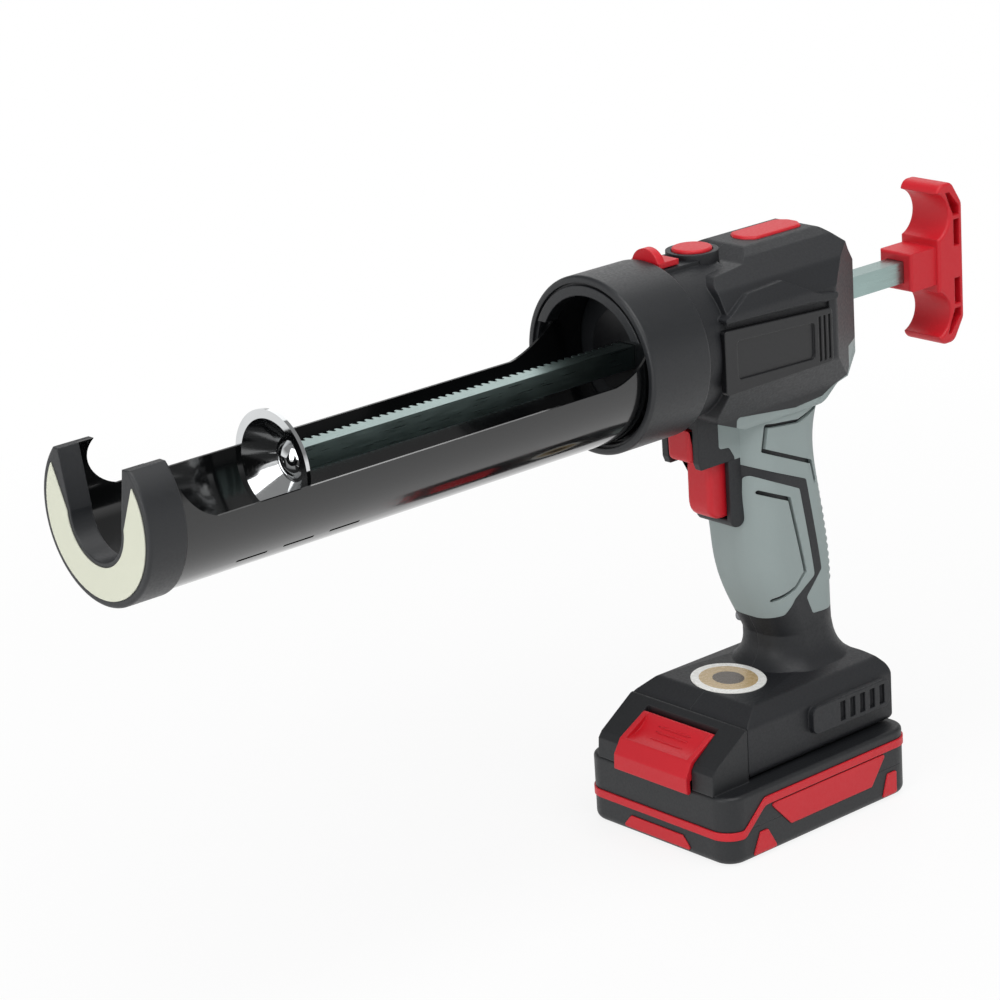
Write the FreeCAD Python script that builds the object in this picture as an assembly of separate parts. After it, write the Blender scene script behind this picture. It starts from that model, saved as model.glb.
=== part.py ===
import FreeCAD
import Part
import math
import os

V = FreeCAD.Vector

# A cordless caulking tool. Origin at the centre of the battery base,
# +X towards the muzzle, +Y the tool's left, +Z up. Millimetres.

# Clearances
RUN_GAP = 0.3
FIT_GAP = 0.05
PIN_GAP = 0.03
OVERRUN = 3.0
BIG = 400.0

# Barrel
AXIS_RISE = 34.0
TUBE_R = 27.0
TUBE_WALL = 1.0
TUBE_SEAT = 20.0
CRADLE_LENGTH = 205.0
WINDOW_REAR_RUN = 13.0
WINDOW_REAR_RISE = 10.5
WINDOW_FRONT_RUN = 13.0
CURVE_SHARE = 0.3
SLOT_COUNT = 3
SLOT_SETBACK = 43.5
SLOT_PITCH = 18.5
SLOT_LENGTH = 12.0
SLOT_WIDTH = 1.2
SLOT_ANGLE_DEG = -47.0
COLLAR_GAP = 0.5
COLLAR_LENGTH = 27.5
COLLAR_WALL = 4.5
COLLAR_EDGE = 1.2
COLLAR_LIP_DEPTH = 5.5
COLLAR_LIP = 2.5
COLLAR_LIP_Z = 12.0
COLLAR_THROAT = 1.0
COLLAR_GROOVE_WIDTH = 1.0
COLLAR_GROOVE_DEPTH = 1.5
CATCH_GROOVE_SINK = 3.4
CATCH_GROOVE_WIDTH = 2.3
CATCH_GROOVE_DEPTH = 5.0
CAP_DEPTH = 13.8
CAP_PLATE = 8.0
CAP_WALL = 1.0
CAP_TOP = 19.5
CAP_MOUTH_R = 13.5
CAP_MOUTH_TOP = 17.0
CAP_EDGE = 1.0
PAD_RIM = 2.4
PAD_MARGIN = 1.5
PAD_TIP_DROP = 5.1
PAD_THICK = 2.0
PAD_PROUD = 0.3

# Push rod
ROD_SIDE = 8.0
MODULE = 1.0
PRESSURE_DEG = 20.0
RACK_ADDENDUM_SHARE = 0.8
DEDENDUM_SHARE = 1.25
RACK_INSET = 3.5
RACK_TEETH = 76
BACKLASH = 0.2
DISC_SETBACK = 67.5
DISC_R = 18.4
DISC_RIM = 3.0
DISC_DEPTH = 8.0
DISC_HUB_R = 7.5
DISC_THICK = 1.4
DISC_PLAY = 0.15
SPIGOT_R = 3.6
SCREW_HEAD_R = 6.3
SCREW_HEAD_H = 3.0
SCREW_SHANK_R = 2.0
SCREW_SHANK_LENGTH = 9.0
HANDLE_SETOUT = 35.0
HANDLE_LENGTH = 27.0
HANDLE_HEIGHT = 61.0
HANDLE_WIDTH = 18.8
HANDLE_ROUND = 4.0
HANDLE_EDGE = 1.2
SOCKET_WIDTH = 15.6
SOCKET_HEIGHT = 14.5
SOCKET_DEPTH = 12.0
SCALLOP_R = 9.0
SCALLOP_SHARES = (0.40, 0.305)
HANDLE_SHARES = ((0.50, 0.5), (0.80, 0.5), (1.0, 0.36))
HANDLE_POCKET = 4.5
HANDLE_POCKET_SHARES = (((0.81, 0.10), (0.93, 0.10), (0.93, 0.265), (0.81, 0.265)),
                        ((0.81, 0.29), (0.93, 0.29), (0.93, 0.345), (0.74, 0.44), (0.66, 0.44)))
HANDLE_PIN_R = 1.6
HANDLE_PIN_BITE = 1.6

# Upper body
BODY_BACK = 1.5
BODY_LENGTH = 91.0
BODY_SINK = 10.0
BODY_STEP = 2.2
BODY_HALF_WIDTH = 28.0
BODY_ROUND = 3.5
BODY_SIDE_SHARES = ((0.874, 0.1106), (0.874, 0.885), (0.830, 0.924), (0.665, 0.940), (0.577, 1.0), (0.176, 1.0),
                    (0.079, 0.8436), (0.0, 0.7425), (0.0, 0.2275), (0.192, 0.118), (0.28, 0.0), (0.676, 0.0))
DECK_CORNERS = (4, 6)
BODY_FRONT_SHARES = ((0.3464, 1.0), (0.518, 0.9637), (0.839, 0.861), (1.0, 0.7267), (1.0, 0.316), (0.68, 0.1106),
                     (0.65, 0.0))
BODY_PLAN_SHARES = ((1.0, 1.0), (0.2857, 1.0), (0.0, 0.43))
SHOULDER_LENGTH = 26.0
SHOULDER_WALL = 1.0
RIDGE_PROUD = 1.6
RIDGE_DEPTH = 8.0
RIDGE_SHARES = ((0.90, 0.7295), (0.75, 0.828), (0.56, 0.840), (0.40, 0.724), (0.29, 0.6985), (0.30, 0.662),
                (0.45, 0.688), (0.90, 0.714))
CAVITY_WALL = 3.5
CAVITY_FRONT_INSET = 9.5
CAVITY_REAR_INSET = 8.5
GEAR_RIB_RISE = 4.0
GEAR_RIB_THICK = 3.0
GEAR_RIB_LENGTH = 26.0
NOSE_HOLE_R = 13.0
NOSE_RING_LENGTH = 7.6
GUIDE_FLANGE_R = 17.0
GUIDE_FLANGE = 3.0
GUIDE_REAR_SIDE = 15.0
GUIDE_PROUD = 1.0

# Side plaque
PLAQUE_INSET = 8.0
PLAQUE_LENGTH = 53.0
PLAQUE_RISE = 19.5
PLAQUE_HEIGHT = 26.5
PLAQUE_THICK = 2.4
PLAQUE_PROUD = 1.4
PLAQUE_ROUND = 1.5
PLAQUE_PANEL_DEPTH = 0.8
PLAQUE_SHARES = ((0.0, 0.02), (1.0, 0.0), (1.0, 0.87), (0.0, 0.75))
PLAQUE_GAP_SHARES = ((0.0, 0.74), (1.0, 0.86), (0.97, 0.96), (0.0, 0.83))
PLAQUE_PANEL_SHARES = ((0.17, 0.13), (0.89, 0.18), (0.89, 0.70), (0.17, 0.62))
PLAQUE_RIB_COUNT = 3
PLAQUE_RIB_SHARES = ((0.02, 0.155), (0.07, 0.68))

# Grip and its soft skins
GRIP_BACK = 2.5
GRIP_LENGTH = 80.0
GRIP_RISE = 7.3
GRIP_HEIGHT = 100.0
GRIP_WIDTH = 32.7
GRIP_CORNER_SHARE = 0.8
SKIN_ROUND = 1.5
DUCT_R = 4.0
GRIP_SECTION_SHARES = ((-0.15, 0.139, 0.500, 0.417), (0.02, 0.141, 0.521, 0.417), (0.15, 0.1525, 0.599, 0.444),
                       (0.326, 0.1675, 0.6825, 0.480), (0.46, 0.191, 0.704, 0.489), (0.68, 0.235, 0.725, 0.495),
                       (0.80, 0.240, 0.725, 0.500), (0.90, 0.209, 0.725, 0.505), (1.08, 0.10, 0.725, 0.510))
GRIP_BLOCK_SHARES = ((0.60, 0.775), (0.950, 0.775), (0.9625, 0.80), (0.9625, 1.02), (0.60, 1.02))
GRIP_BLOCK_HALF_SHARE = 0.28
SKIN_THICK = 1.6
SKIN_GROOVE_WIDTH = 1.5
SKIN_BACK_SHARES = ((0.8375, 0.965), (0.469, 0.930), (0.30, 0.94), (0.21, 0.975), (0.125, 1.015), (-0.02, 1.10),
                    (-0.10, 1.10), (-0.10, 0.11), (0.2375, 0.11), (0.35, 0.116), (0.394, 0.19), (0.299, 0.281),
                    (0.3875, 0.643), (0.744, 0.76), (0.744, 0.785), (0.775, 0.825), (0.8375, 0.83))
SKIN_FRONT_SHARES = ((0.706, 0.715), (0.431, 0.615), (0.344, 0.266), (0.469, 0.20), (0.52, 0.144),
                     (0.5875, 0.13), (0.80, 0.13), (0.80, 0.52), (0.731, 0.525), (0.706, 0.57))
GROOVE_BACK_SHARES = ((0.27, 0.905), (0.4275, 0.868), (0.619, 0.884), (0.634, 0.795), (0.344, 0.697),
                      (0.319, 0.62))
GROOVE_FRONT_SHARES = ((0.66, 0.643), (0.4975, 0.589), (0.406, 0.292), (0.465, 0.244), (0.58, 0.213))

# Foot of the grip
FOOT_SETIN = 4.0
FOOT_LENGTH = 75.0
FOOT_GAP = 0.2
FOOT_HEIGHT = 26.5
FOOT_HALF_WIDTH = 29.5
FOOT_ROUND = 3.0
FOOT_SIDE_SHARES = ((0.0, 0.0), (1.0, 0.0), (1.0, 0.747), (0.887, 0.936), (0.51, 1.0), (0.053, 1.0), (0.0, 0.82))
ROOF_CORNERS = (3, 5)
FOOT_FRONT_SHARES = ((1.0, 0.0), (1.0, 0.73), (0.83, 0.93), (0.55, 1.0))
FLARE_SHARES = ((0.917, 0.044, 0.625, 0.642), (1.011, 0.081, 0.581, 0.55), (1.1245, 0.109, 0.55, 0.483),
                (1.2755, 0.130, 0.535, 0.440), (1.464, 0.142, 0.5375, 0.420))
PAD_RIB_COUNT = 5
PAD_INSET = 3.5
PAD_LENGTH = 40.5
PAD_RISE = 8.0
PAD_HEIGHT = 10.5
PAD_OUT = 2.6
PAD_ROUND = 3.0
PAD_RIB_LENGTH = 2.8
PAD_RIB_PITCH = 5.2
PAD_RIB_DEPTH = 1.3
LABEL_SETIN = 54.5
LABEL_HALF_LENGTH = 10.5
LABEL_HALF_WIDTH = 12.5
LABEL_THICK = 0.4

# Drive train
MOTOR_SETIN = 33.8
MOTOR_R = 10.4
MOTOR_HEIGHT = 31.0
MOTOR_STUB_R = 5.0
MOTOR_STUB = 3.0
MOTOR_SHAFT_R = 1.6
MOTOR_SHAFT = 8.0
GEARBOX_R = 11.0
GEARBOX_HEIGHT = 29.0
GEARBOX_DROP = 7.0
GEARBOX_WALL = 2.0
OUTPUT_TEETH = 16
DRIVEN_TEETH = 24
PINION_TEETH = 14
GEAR_ADDENDUM_SHARE = 0.9
GEAR_DROP = 4.0
GEAR_THICK = 5.0
FLOOR_DROP = 3.0
OUTPUT_SHAFT_R = 4.0
OUTPUT_SHAFT_DEPTH = 12.0
PINION_SHAFT_R = 3.2
BUSH_R = 5.0
BUSH_LENGTH = 4.5

# Trigger and switch
TRIGGER_SETIN = 58.0
TRIGGER_LENGTH = 21.5
TRIGGER_TUCK = 2.0
TRIGGER_HEIGHT = 36.5
TRIGGER_WIDTH = 12.0
TRIGGER_ROUND = 4.0
TRIGGER_SHARES = ((0.0, 0.04), (0.15, 0.0), (0.50, 0.0), (0.72, 0.16), (0.745, 0.62), (0.78, 0.66),
                  (0.96, 0.665), (1.0, 0.72), (1.0, 1.0), (0.0, 1.0))
TRIGGER_EDGE = 2.0
SWITCH_GAP = 1.2
SWITCH_LENGTH = 5.8
SWITCH_WIDTH = 14.0
SWITCH_RISE = 2.5
SWITCH_HEIGHT = 24.0
TRIGGER_SPRING_R = 3.0
TRIGGER_SPRING_WALL = 0.8
BOARD_SETIN = 19.0
BOARD_LENGTH = 14.0
BOARD_RISE = 4.0
BOARD_HEIGHT = 28.0
BOARD_THICK = 1.6
SCREW_SPOT_SHARES = ((0.2125, 1.03), (0.90, 1.02), (0.475, 0.08))
SCREW_R = 1.6
SCREW_CAP_R = 2.6
SCREW_CAP_H = 2.2
SCREW_SEAT = 11.0
SCREW_REACH = 8.0

# Release button, bridge and clutch pin
RELEASE_SETBACK = 22.7
RELEASE_R = 7.1
RELEASE_PROUD = 2.1
RELEASE_HEAD = 5.0
RELEASE_DOME = 0.8
RELEASE_STROKE = 3.0
RELEASE_STEM_R = 3.0
BOSS_R = 9.3
BOSS_PROUD = 1.0
BOSS_SINK = 4.3
STEM_GUIDE_R = 7.0
STEM_GUIDE_GAP = 1.5
STEM_GUIDE_DEPTH = 4.0
STEM_GUIDE_FLOOR = 1.5
RELEASE_SPRING_WALL = 1.4
BRIDGE_GAP = 0.5
BRIDGE_THICK = 3.0
BRIDGE_WIDTH = 7.0
CLUTCH_PIN_R = 1.5
CLUTCH_PIN_RISE = 1.0

# Top inlay
INLAY_SETIN = 31.7
INLAY_LENGTH = 28.5
INLAY_WIDTH = 13.0
INLAY_THICK = 3.0
INLAY_PROUD = 1.0
INLAY_SHARES = ((-0.5, -0.18), (-0.40, -0.5), (0.40, -0.5), (0.5, -0.18), (0.5, 0.18), (0.40, 0.5),
                (-0.40, 0.5), (-0.5, 0.18))
INLAY_ROUND = 3.0

# Barrel catch
CATCH_SETBACK = 0.2
CATCH_LENGTH = 9.5
CATCH_PLATE = 2.0
CATCH_WIDTH = 13.5
CATCH_TAB_THICK = 3.2
CATCH_TAB_HEIGHT = 6.5
TONGUE_GAP = 0.6
TONGUE_WIDTH = 6.0
TONGUE_THICK = 1.2
TONGUE_REACH = 4.0
BED_LENGTH = 19.5
BED_WIDTH = 16.5
BED_DEPTH = 9.0
PEG_LENGTH = 2.5
PEG_WIDTH = 2.6
PEG_DEPTH = 3.0
PEG_SETBACK = 3.5
CATCH_SPRING_LENGTH = 6.5
CATCH_SPRING_WALL = 0.5

# Battery pack
PACK_WALL = 2.0
PACK_FLOOR = 2.5
PACK_ROOF = 3.4
PACK_CORNER_R = 8.0
PACK_EDGE = 1.5
PACK_BASE_EDGE = 3.0
PACK_SPLIT_SHARE = 0.48
CAVITY_CORNER_R = 4.2
CELL_COUNT = 5
CELL_R = 8.9
CELL_LENGTH = 65.0
CELL_APART = 0.25
CELL_END_GAP = 0.5
CELL_SIDE_GAP = 2.5
CARRIER_THICK = 2.15
STRIP_THICK = 0.4
STRIP_HEIGHT = 6.0
RAIL_FRONT_GAP = 0.3
RAIL_SETIN = 10.0
STEM_HALF_WIDTH = 15.5
STEM_RISE = 7.0
HEAD_HALF_WIDTH = 19.5
HEAD_RISE = 7.0
CHANNEL_SPARE = 4.0
CONTACT_DEPTH = 3.5
CONTACT_HALF_WIDTH = 14.0
CONTACT_RISE = 1.0
BLADE_LENGTH = 14.0
BLADE_THICK = 0.8
BLADE_HEIGHT = 5.0
BLADE_Y = 8.0
BLADE_SLOT = 1.8
NOSE_SHARES = ((0.0, 0.0), (1.0, 0.0), (0.97, 0.36), (0.88, 0.47), (0.0, 1.0))
BELT_HEIGHT = 3.0
BELT_SINK = 0.9
BELT_PROUD = 0.5
BELT_LEVEL_SHARES = (0.4385, 0.80)
BELT_SHARES = ((1.15, 0.0), (0.84, 0.0), (0.62, 1.0), (-1.15, 1.0))
PANEL_SINK = 1.2
PANEL_PROUD = 0.4
PANEL_ROUND = 0.8
PANEL_SHARES = ((0.56, 0.72), (-0.705, 0.72), (-0.54, 0.31), (0.35, 0.31))
ACCENT_FRONT_SHARES = ((0.76, 0.06), (0.50, 0.06), (0.60, 0.38), (0.68, 0.38))
ACCENT_REAR_SHARES = ((-0.66, 0.06), (-0.82, 0.06), (-0.82, 0.40), (-0.72, 0.40))
ACCENT_NOSE_SHARES = ((0.48, 0.08), (-0.48, 0.08), (-0.36, 0.27), (0.36, 0.27))
PACK_BUTTON_SHARES = ((1.022, -0.075), (1.126, -0.075), (1.126, 0.225), (0.95, 0.50), (0.28, 0.84),
                      (0.16, 0.78), (0.16, 0.175), (1.022, 0.175))
PACK_BUTTON_HALF_WIDTH = 18.8
PACK_BUTTON_TOP_HALF_WIDTH = 18.0
PACK_BUTTON_ROUND = 0.8
SCOOP_R = 11.0
SCOOP_DEPTH = 2.2
PACK_SPRING_R = 3.0
PACK_SPRING_WALL = 0.8
PACK_SPRING_SHARE = 0.6

# Share of an edge that a rounded corner may take
CORNER_ROOM_SHARE = 0.48
FLANK_POINTS = 5

# Heights that follow from the sizes above, from the base up
CELL_PITCH = 2 * CELL_R + CELL_APART
CELL_TOP_Z = PACK_FLOOR + 2 * CELL_R + 2 * FIT_GAP
CAVITY_TOP_Z = CELL_TOP_Z + CARRIER_THICK + FIT_GAP
PACK_HEIGHT = CAVITY_TOP_Z + PACK_ROOF
PACK_SPLIT_Z = PACK_SPLIT_SHARE * PACK_HEIGHT
PACK_HALF_LENGTH = CELL_PITCH * (CELL_COUNT - 1) / 2 + CELL_R + CELL_END_GAP + PACK_WALL
PACK_HALF_WIDTH = CELL_LENGTH / 2 + CELL_SIDE_GAP + PACK_WALL
STEM_TOP_Z = PACK_HEIGHT + STEM_RISE
HEAD_TOP_Z = STEM_TOP_Z + HEAD_RISE
CONTACT_BASE_Z = STEM_TOP_Z + CONTACT_RISE
FOOT_BASE_Z = PACK_HEIGHT + FOOT_GAP
PAD_BASE_Z = FOOT_BASE_Z + PAD_RISE
GRIP_Z = FOOT_BASE_Z + FOOT_HEIGHT + GRIP_RISE
BOARD_BASE_Z = GRIP_Z + BOARD_RISE
BODY_BASE_Z = GRIP_Z + GRIP_HEIGHT - BODY_SINK
TRIGGER_BASE_Z = BODY_BASE_Z + TRIGGER_TUCK - TRIGGER_HEIGHT
SWITCH_BASE_Z = TRIGGER_BASE_Z + SWITCH_RISE
PLAQUE_BASE_Z = BODY_BASE_Z + PLAQUE_RISE
AXIS_Z = BODY_BASE_Z + AXIS_RISE
COLLAR_R = TUBE_R + COLLAR_WALL
COLLAR_LIP_R = TUBE_R - COLLAR_LIP
COLLAR_THROAT_R = TUBE_R + COLLAR_THROAT
CATCH_GROOVE_R = COLLAR_R - CATCH_GROOVE_SINK
CAP_R = TUBE_R + CAP_WALL
PAD_R = CAP_R - PAD_RIM
PAD_INNER_R = CAP_MOUTH_R + PAD_MARGIN
PAD_TIP = CAP_TOP - PAD_TIP_DROP
SHOULDER_R = TUBE_R + SHOULDER_WALL
BODY_HEIGHT = AXIS_RISE + COLLAR_R - BODY_STEP
BODY_TOP_Z = BODY_BASE_Z + BODY_HEIGHT
ROD_HALF = ROD_SIDE / 2
GEAR_BASE_Z = AXIS_Z - ROD_HALF - MODULE - GEAR_DROP - GEAR_THICK
CAVITY_FLOOR_Z = GEAR_BASE_Z - FLOOR_DROP
GEARBOX_TOP_Z = CAVITY_FLOOR_Z - GEARBOX_DROP
MOTOR_BASE_Z = GEARBOX_TOP_Z - GEARBOX_HEIGHT - MOTOR_HEIGHT
GEAR_RIB_Z = AXIS_Z + ROD_HALF + GEAR_RIB_RISE
BRIDGE_Z = GEAR_RIB_Z + GEAR_RIB_THICK + RELEASE_STROKE + BRIDGE_GAP
CLUTCH_PIN_Z = AXIS_Z + CLUTCH_PIN_RISE
STEM_GUIDE_Z = BRIDGE_Z + BRIDGE_THICK + STEM_GUIDE_GAP
CAVITY_ROOF_Z = STEM_GUIDE_Z + STEM_GUIDE_DEPTH
RELEASE_TOP_Z = BODY_TOP_Z + RELEASE_PROUD
BOSS_TOP_Z = BODY_TOP_Z + BOSS_PROUD
BOSS_BASE_Z = BODY_TOP_Z - BOSS_SINK
CATCH_BASE_Z = AXIS_Z + CATCH_GROOVE_R + TONGUE_GAP
CATCH_TAB_TOP_Z = CATCH_BASE_Z + CATCH_TAB_HEIGHT

# Places along the tool that follow from the sizes above
GRIP_X = -PACK_HALF_LENGTH - GRIP_BACK
FOOT_REAR_X = GRIP_X + FOOT_SETIN
RAIL_REAR_X = FOOT_REAR_X + RAIL_SETIN
CHANNEL_REAR_X = RAIL_REAR_X - CHANNEL_SPARE
CONTACT_REAR_X = CHANNEL_REAR_X - CONTACT_DEPTH
PACK_NOSE_X = FOOT_REAR_X + FOOT_LENGTH + RAIL_FRONT_GAP
NOSE_LENGTH = PACK_HALF_LENGTH - PACK_NOSE_X
NOSE_HEIGHT = FOOT_BASE_Z + FOOT_SIDE_SHARES[2][1] * FOOT_HEIGHT - PACK_HEIGHT
PAD_REAR_X = FOOT_REAR_X + PAD_INSET
LABEL_X = FOOT_REAR_X + LABEL_SETIN
BODY_REAR_X = GRIP_X - BODY_BACK
BODY_FRONT_X = BODY_REAR_X + BODY_LENGTH
COLLAR_REAR_X = BODY_FRONT_X + COLLAR_GAP
COLLAR_FRONT_X = COLLAR_REAR_X + COLLAR_LENGTH
CAP_FRONT_X = COLLAR_FRONT_X + CRADLE_LENGTH
CAP_REAR_X = CAP_FRONT_X - CAP_DEPTH
SLOT_FRONT_X = CAP_FRONT_X - SLOT_SETBACK
DISC_FRONT_X = CAP_FRONT_X - DISC_SETBACK
DISC_HUB_X = DISC_FRONT_X - DISC_DEPTH
RACK_REAR_X = BODY_REAR_X + RACK_INSET
HANDLE_FRONT_X = BODY_REAR_X - HANDLE_SETOUT
HANDLE_BACK_X = HANDLE_FRONT_X - HANDLE_LENGTH
CAVITY_FRONT_X = BODY_FRONT_X - CAVITY_FRONT_INSET
CAVITY_REAR_X = BODY_REAR_X + CAVITY_REAR_INSET
PLAQUE_FRONT_X = BODY_FRONT_X - PLAQUE_INSET
RELEASE_X = BODY_FRONT_X - RELEASE_SETBACK
INLAY_X = BODY_REAR_X + INLAY_SETIN
CATCH_FRONT_X = BODY_FRONT_X - CATCH_SETBACK
BED_REAR_X = BODY_FRONT_X - BED_LENGTH
MOTOR_X = GRIP_X + MOTOR_SETIN
SWITCH_REAR_X = MOTOR_X + MOTOR_R + SWITCH_GAP
TRIGGER_REAR_X = GRIP_X + TRIGGER_SETIN
BOARD_X = GRIP_X + BOARD_SETIN
PITCH = math.pi * MODULE
PINION_Y = -(ROD_HALF - RACK_ADDENDUM_SHARE * MODULE + MODULE * PINION_TEETH / 2)
GEAR_CENTRES = MODULE * (OUTPUT_TEETH + DRIVEN_TEETH) / 2
PINION_X = MOTOR_X + math.sqrt(GEAR_CENTRES ** 2 - PINION_Y ** 2)
AXIS = V(0, 0, AXIS_Z)
X_DIR = V(1, 0, 0)
Y_DIR = V(0, 1, 0)
Z_DIR = V(0, 0, 1)


def scaled(shares, first, first_size, second, second_size):
    """Points from shares of two sizes, counted from a corner."""
    return [(first + a * first_size, second + b * second_size) for a, b in shares]


def outline(points, radius, place):
    """Closed wire through the points, each corner rounded by the radius."""
    spots = [V(a, b) for a, b in points]
    if not radius:
        return Part.makePolygon([place(p.x, p.y) for p in spots + spots[:1]])
    corners = []
    for i, here in enumerate(spots):
        back = spots[i - 1] - here
        ahead = spots[(i + 1) % len(spots)] - here
        half = back.getAngle(ahead) / 2
        reach = min(radius / math.tan(half), CORNER_ROOM_SHARE * min(back.Length, ahead.Length))
        back.normalize()
        ahead.normalize()
        middle = back + ahead
        middle.normalize()
        turn = reach * math.tan(half)
        inner = here + middle * (turn / math.sin(half) - turn)
        corners.append((here + back * reach, inner, here + ahead * reach))
    edges = []
    for i, corner in enumerate(corners):
        start, inner, end = [place(p.x, p.y) for p in corner]
        following = corners[(i + 1) % len(corners)][0]
        edges.append(Part.Arc(start, inner, end).toShape())
        edges.append(Part.LineSegment(end, place(following.x, following.y)).toShape())
    return Part.Wire(edges)


def inset_face(wire, inset):
    """Face inside the wire, drawn in all round."""
    face = Part.Face(wire)
    return face.makeOffset2D(-inset) if inset else face


def side_prism(points, radius, y0, y1, inset=0):
    """Outline in x and z carried across from y0 to y1."""
    wire = outline(points, radius, lambda x, z: V(x, y0, z))
    return inset_face(wire, inset).extrude(V(0, y1 - y0, 0))


def front_prism(points, radius, x0, x1, inset=0):
    """Outline in y and z carried along from x0 to x1."""
    wire = outline(points, radius, lambda y, z: V(x0, y, z))
    return inset_face(wire, inset).extrude(V(x1 - x0, 0, 0))


def plan_prism(points, radius, z0, z1, inset=0):
    """Outline in x and y carried up from z0 to z1."""
    wire = outline(points, radius, lambda x, y: V(x, y, z0))
    return inset_face(wire, inset).extrude(V(0, 0, z1 - z0))


def block(x0, x1, y0, y1, z0, z1):
    """Box between two corners."""
    return Part.makeBox(x1 - x0, y1 - y0, z1 - z0, V(x0, y0, z0))


def wide_block(x0, x1, half_width, z0, z1):
    """Box centred across the tool."""
    return block(x0, x1, -half_width, half_width, z0, z1)


def axle(radius, x0, x1):
    """Cylinder on the barrel axis."""
    return Part.makeCylinder(radius, x1 - x0, V(x0, 0, AXIS_Z), X_DIR)


def post(radius, x, y, z0, z1):
    """Upright cylinder."""
    return Part.makeCylinder(radius, z1 - z0, V(x, y, z0), Z_DIR)


def mirrored(points):
    """Half outline given on the left, closed by its mirror on the right."""
    return points + [(-a, b) for a, b in reversed(points)]


def turned(edges):
    """Solid of revolution about the barrel axis."""
    return Part.Face(Part.Wire(edges)).revolve(AXIS, X_DIR, 360)


def flipped(shape):
    """Mirror image on the other side of the tool."""
    return shape.mirror(V(0, 0, 0), Y_DIR)


def round_edges(shape, radius, wanted):
    """Round the edges that the test picks."""
    return shape.makeFillet(radius, [e for e in shape.Edges if wanted(e)])


def line(a, b):
    return Part.LineSegment(a, b).toShape()


def arc(a, b, c):
    return Part.Arc(a, b, c).toShape()


def barrel_window():
    """Space taken out of the tube so that a cartridge drops in from above."""
    top = AXIS_Z + COLLAR_R
    rear = COLLAR_FRONT_X - COLLAR_LIP_DEPTH - RUN_GAP
    front = CAP_FRONT_X
    rail_rear = COLLAR_FRONT_X + WINDOW_REAR_RUN
    rail_front = CAP_REAR_X - WINDOW_FRONT_RUN
    spots = [V(rail_rear, -COLLAR_R, AXIS_Z),
             V((rail_rear + rear) / 2, -COLLAR_R, AXIS_Z + CURVE_SHARE * WINDOW_REAR_RISE),
             V(rear, -COLLAR_R, AXIS_Z + WINDOW_REAR_RISE),
             V(rear, -COLLAR_R, top),
             V(front, -COLLAR_R, top),
             V(front, -COLLAR_R, AXIS_Z + CAP_TOP),
             V(CAP_REAR_X, -COLLAR_R, AXIS_Z + CAP_TOP),
             V(CAP_REAR_X - CURVE_SHARE * WINDOW_FRONT_RUN, -COLLAR_R, AXIS_Z + CURVE_SHARE * CAP_TOP),
             V(rail_front, -COLLAR_R, AXIS_Z)]
    edges = [arc(spots[0], spots[1], spots[2])]
    edges += [line(spots[i], spots[i + 1]) for i in range(2, 6)]
    edges += [arc(spots[6], spots[7], spots[8]), line(spots[8], spots[0])]
    return Part.Face(Part.Wire(edges)).extrude(V(0, 2 * COLLAR_R, 0))


def barrel_tube():
    rear = COLLAR_FRONT_X - TUBE_SEAT
    front = CAP_FRONT_X - CAP_PLATE - FIT_GAP
    tube = axle(TUBE_R, rear, front).cut(axle(TUBE_R - TUBE_WALL, rear - OVERRUN, front + OVERRUN))
    tube = tube.cut(barrel_window())
    for i in range(SLOT_COUNT):
        middle = SLOT_FRONT_X - i * SLOT_PITCH
        slot = block(middle - SLOT_LENGTH / 2, middle + SLOT_LENGTH / 2, TUBE_R - TUBE_WALL - OVERRUN,
                     TUBE_R + OVERRUN, AXIS_Z - SLOT_WIDTH / 2, AXIS_Z + SLOT_WIDTH / 2)
        slot.rotate(AXIS, X_DIR, SLOT_ANGLE_DEG)
        tube = tube.cut(slot)
    return tube


def barrel_collar():
    lip_x = COLLAR_FRONT_X - COLLAR_LIP_DEPTH
    ring = axle(COLLAR_R, COLLAR_REAR_X, COLLAR_FRONT_X)
    ring = round_edges(ring, COLLAR_EDGE, lambda e: e.Closed)
    ring = ring.cut(axle(TUBE_R + FIT_GAP, COLLAR_REAR_X - OVERRUN, lip_x))
    ring = ring.cut(axle(COLLAR_LIP_R, lip_x - OVERRUN, COLLAR_FRONT_X + OVERRUN))
    throat = axle(COLLAR_THROAT_R, lip_x, COLLAR_FRONT_X + OVERRUN)
    below = wide_block(lip_x, COLLAR_FRONT_X + OVERRUN, COLLAR_R, AXIS_Z - COLLAR_R, AXIS_Z + COLLAR_LIP_Z)
    ring = ring.cut(throat.common(below))
    groove_x = COLLAR_FRONT_X - COLLAR_GROOVE_DEPTH
    groove = axle(COLLAR_THROAT_R + COLLAR_GROOVE_WIDTH, groove_x, COLLAR_FRONT_X + OVERRUN)
    ring = ring.cut(groove.cut(axle(COLLAR_THROAT_R, groove_x, COLLAR_FRONT_X + OVERRUN)))
    seat = COLLAR_REAR_X + CATCH_GROOVE_DEPTH
    catch = axle(CATCH_GROOVE_R + CATCH_GROOVE_WIDTH, COLLAR_REAR_X - OVERRUN, seat)
    return ring.cut(catch.cut(axle(CATCH_GROOVE_R, COLLAR_REAR_X - OVERRUN, seat)))


def pad_outline(x, grow):
    """Crescent of the pad at a place along the barrel, grown for its pocket."""
    outer = PAD_R + grow
    inner = PAD_INNER_R - grow
    tip = V(x, math.sqrt(outer ** 2 - (PAD_TIP + grow) ** 2), AXIS_Z + PAD_TIP + grow)
    far_tip = V(x, -tip.y, tip.z)
    bend = V(x, inner, AXIS_Z)
    far_bend = V(x, -inner, AXIS_Z)
    edges = [arc(tip, V(x, 0, AXIS_Z - outer), far_tip), line(far_tip, far_bend),
             arc(far_bend, V(x, 0, AXIS_Z - inner), bend), line(bend, tip)]
    return Part.Face(Part.Wire(edges))


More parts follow.
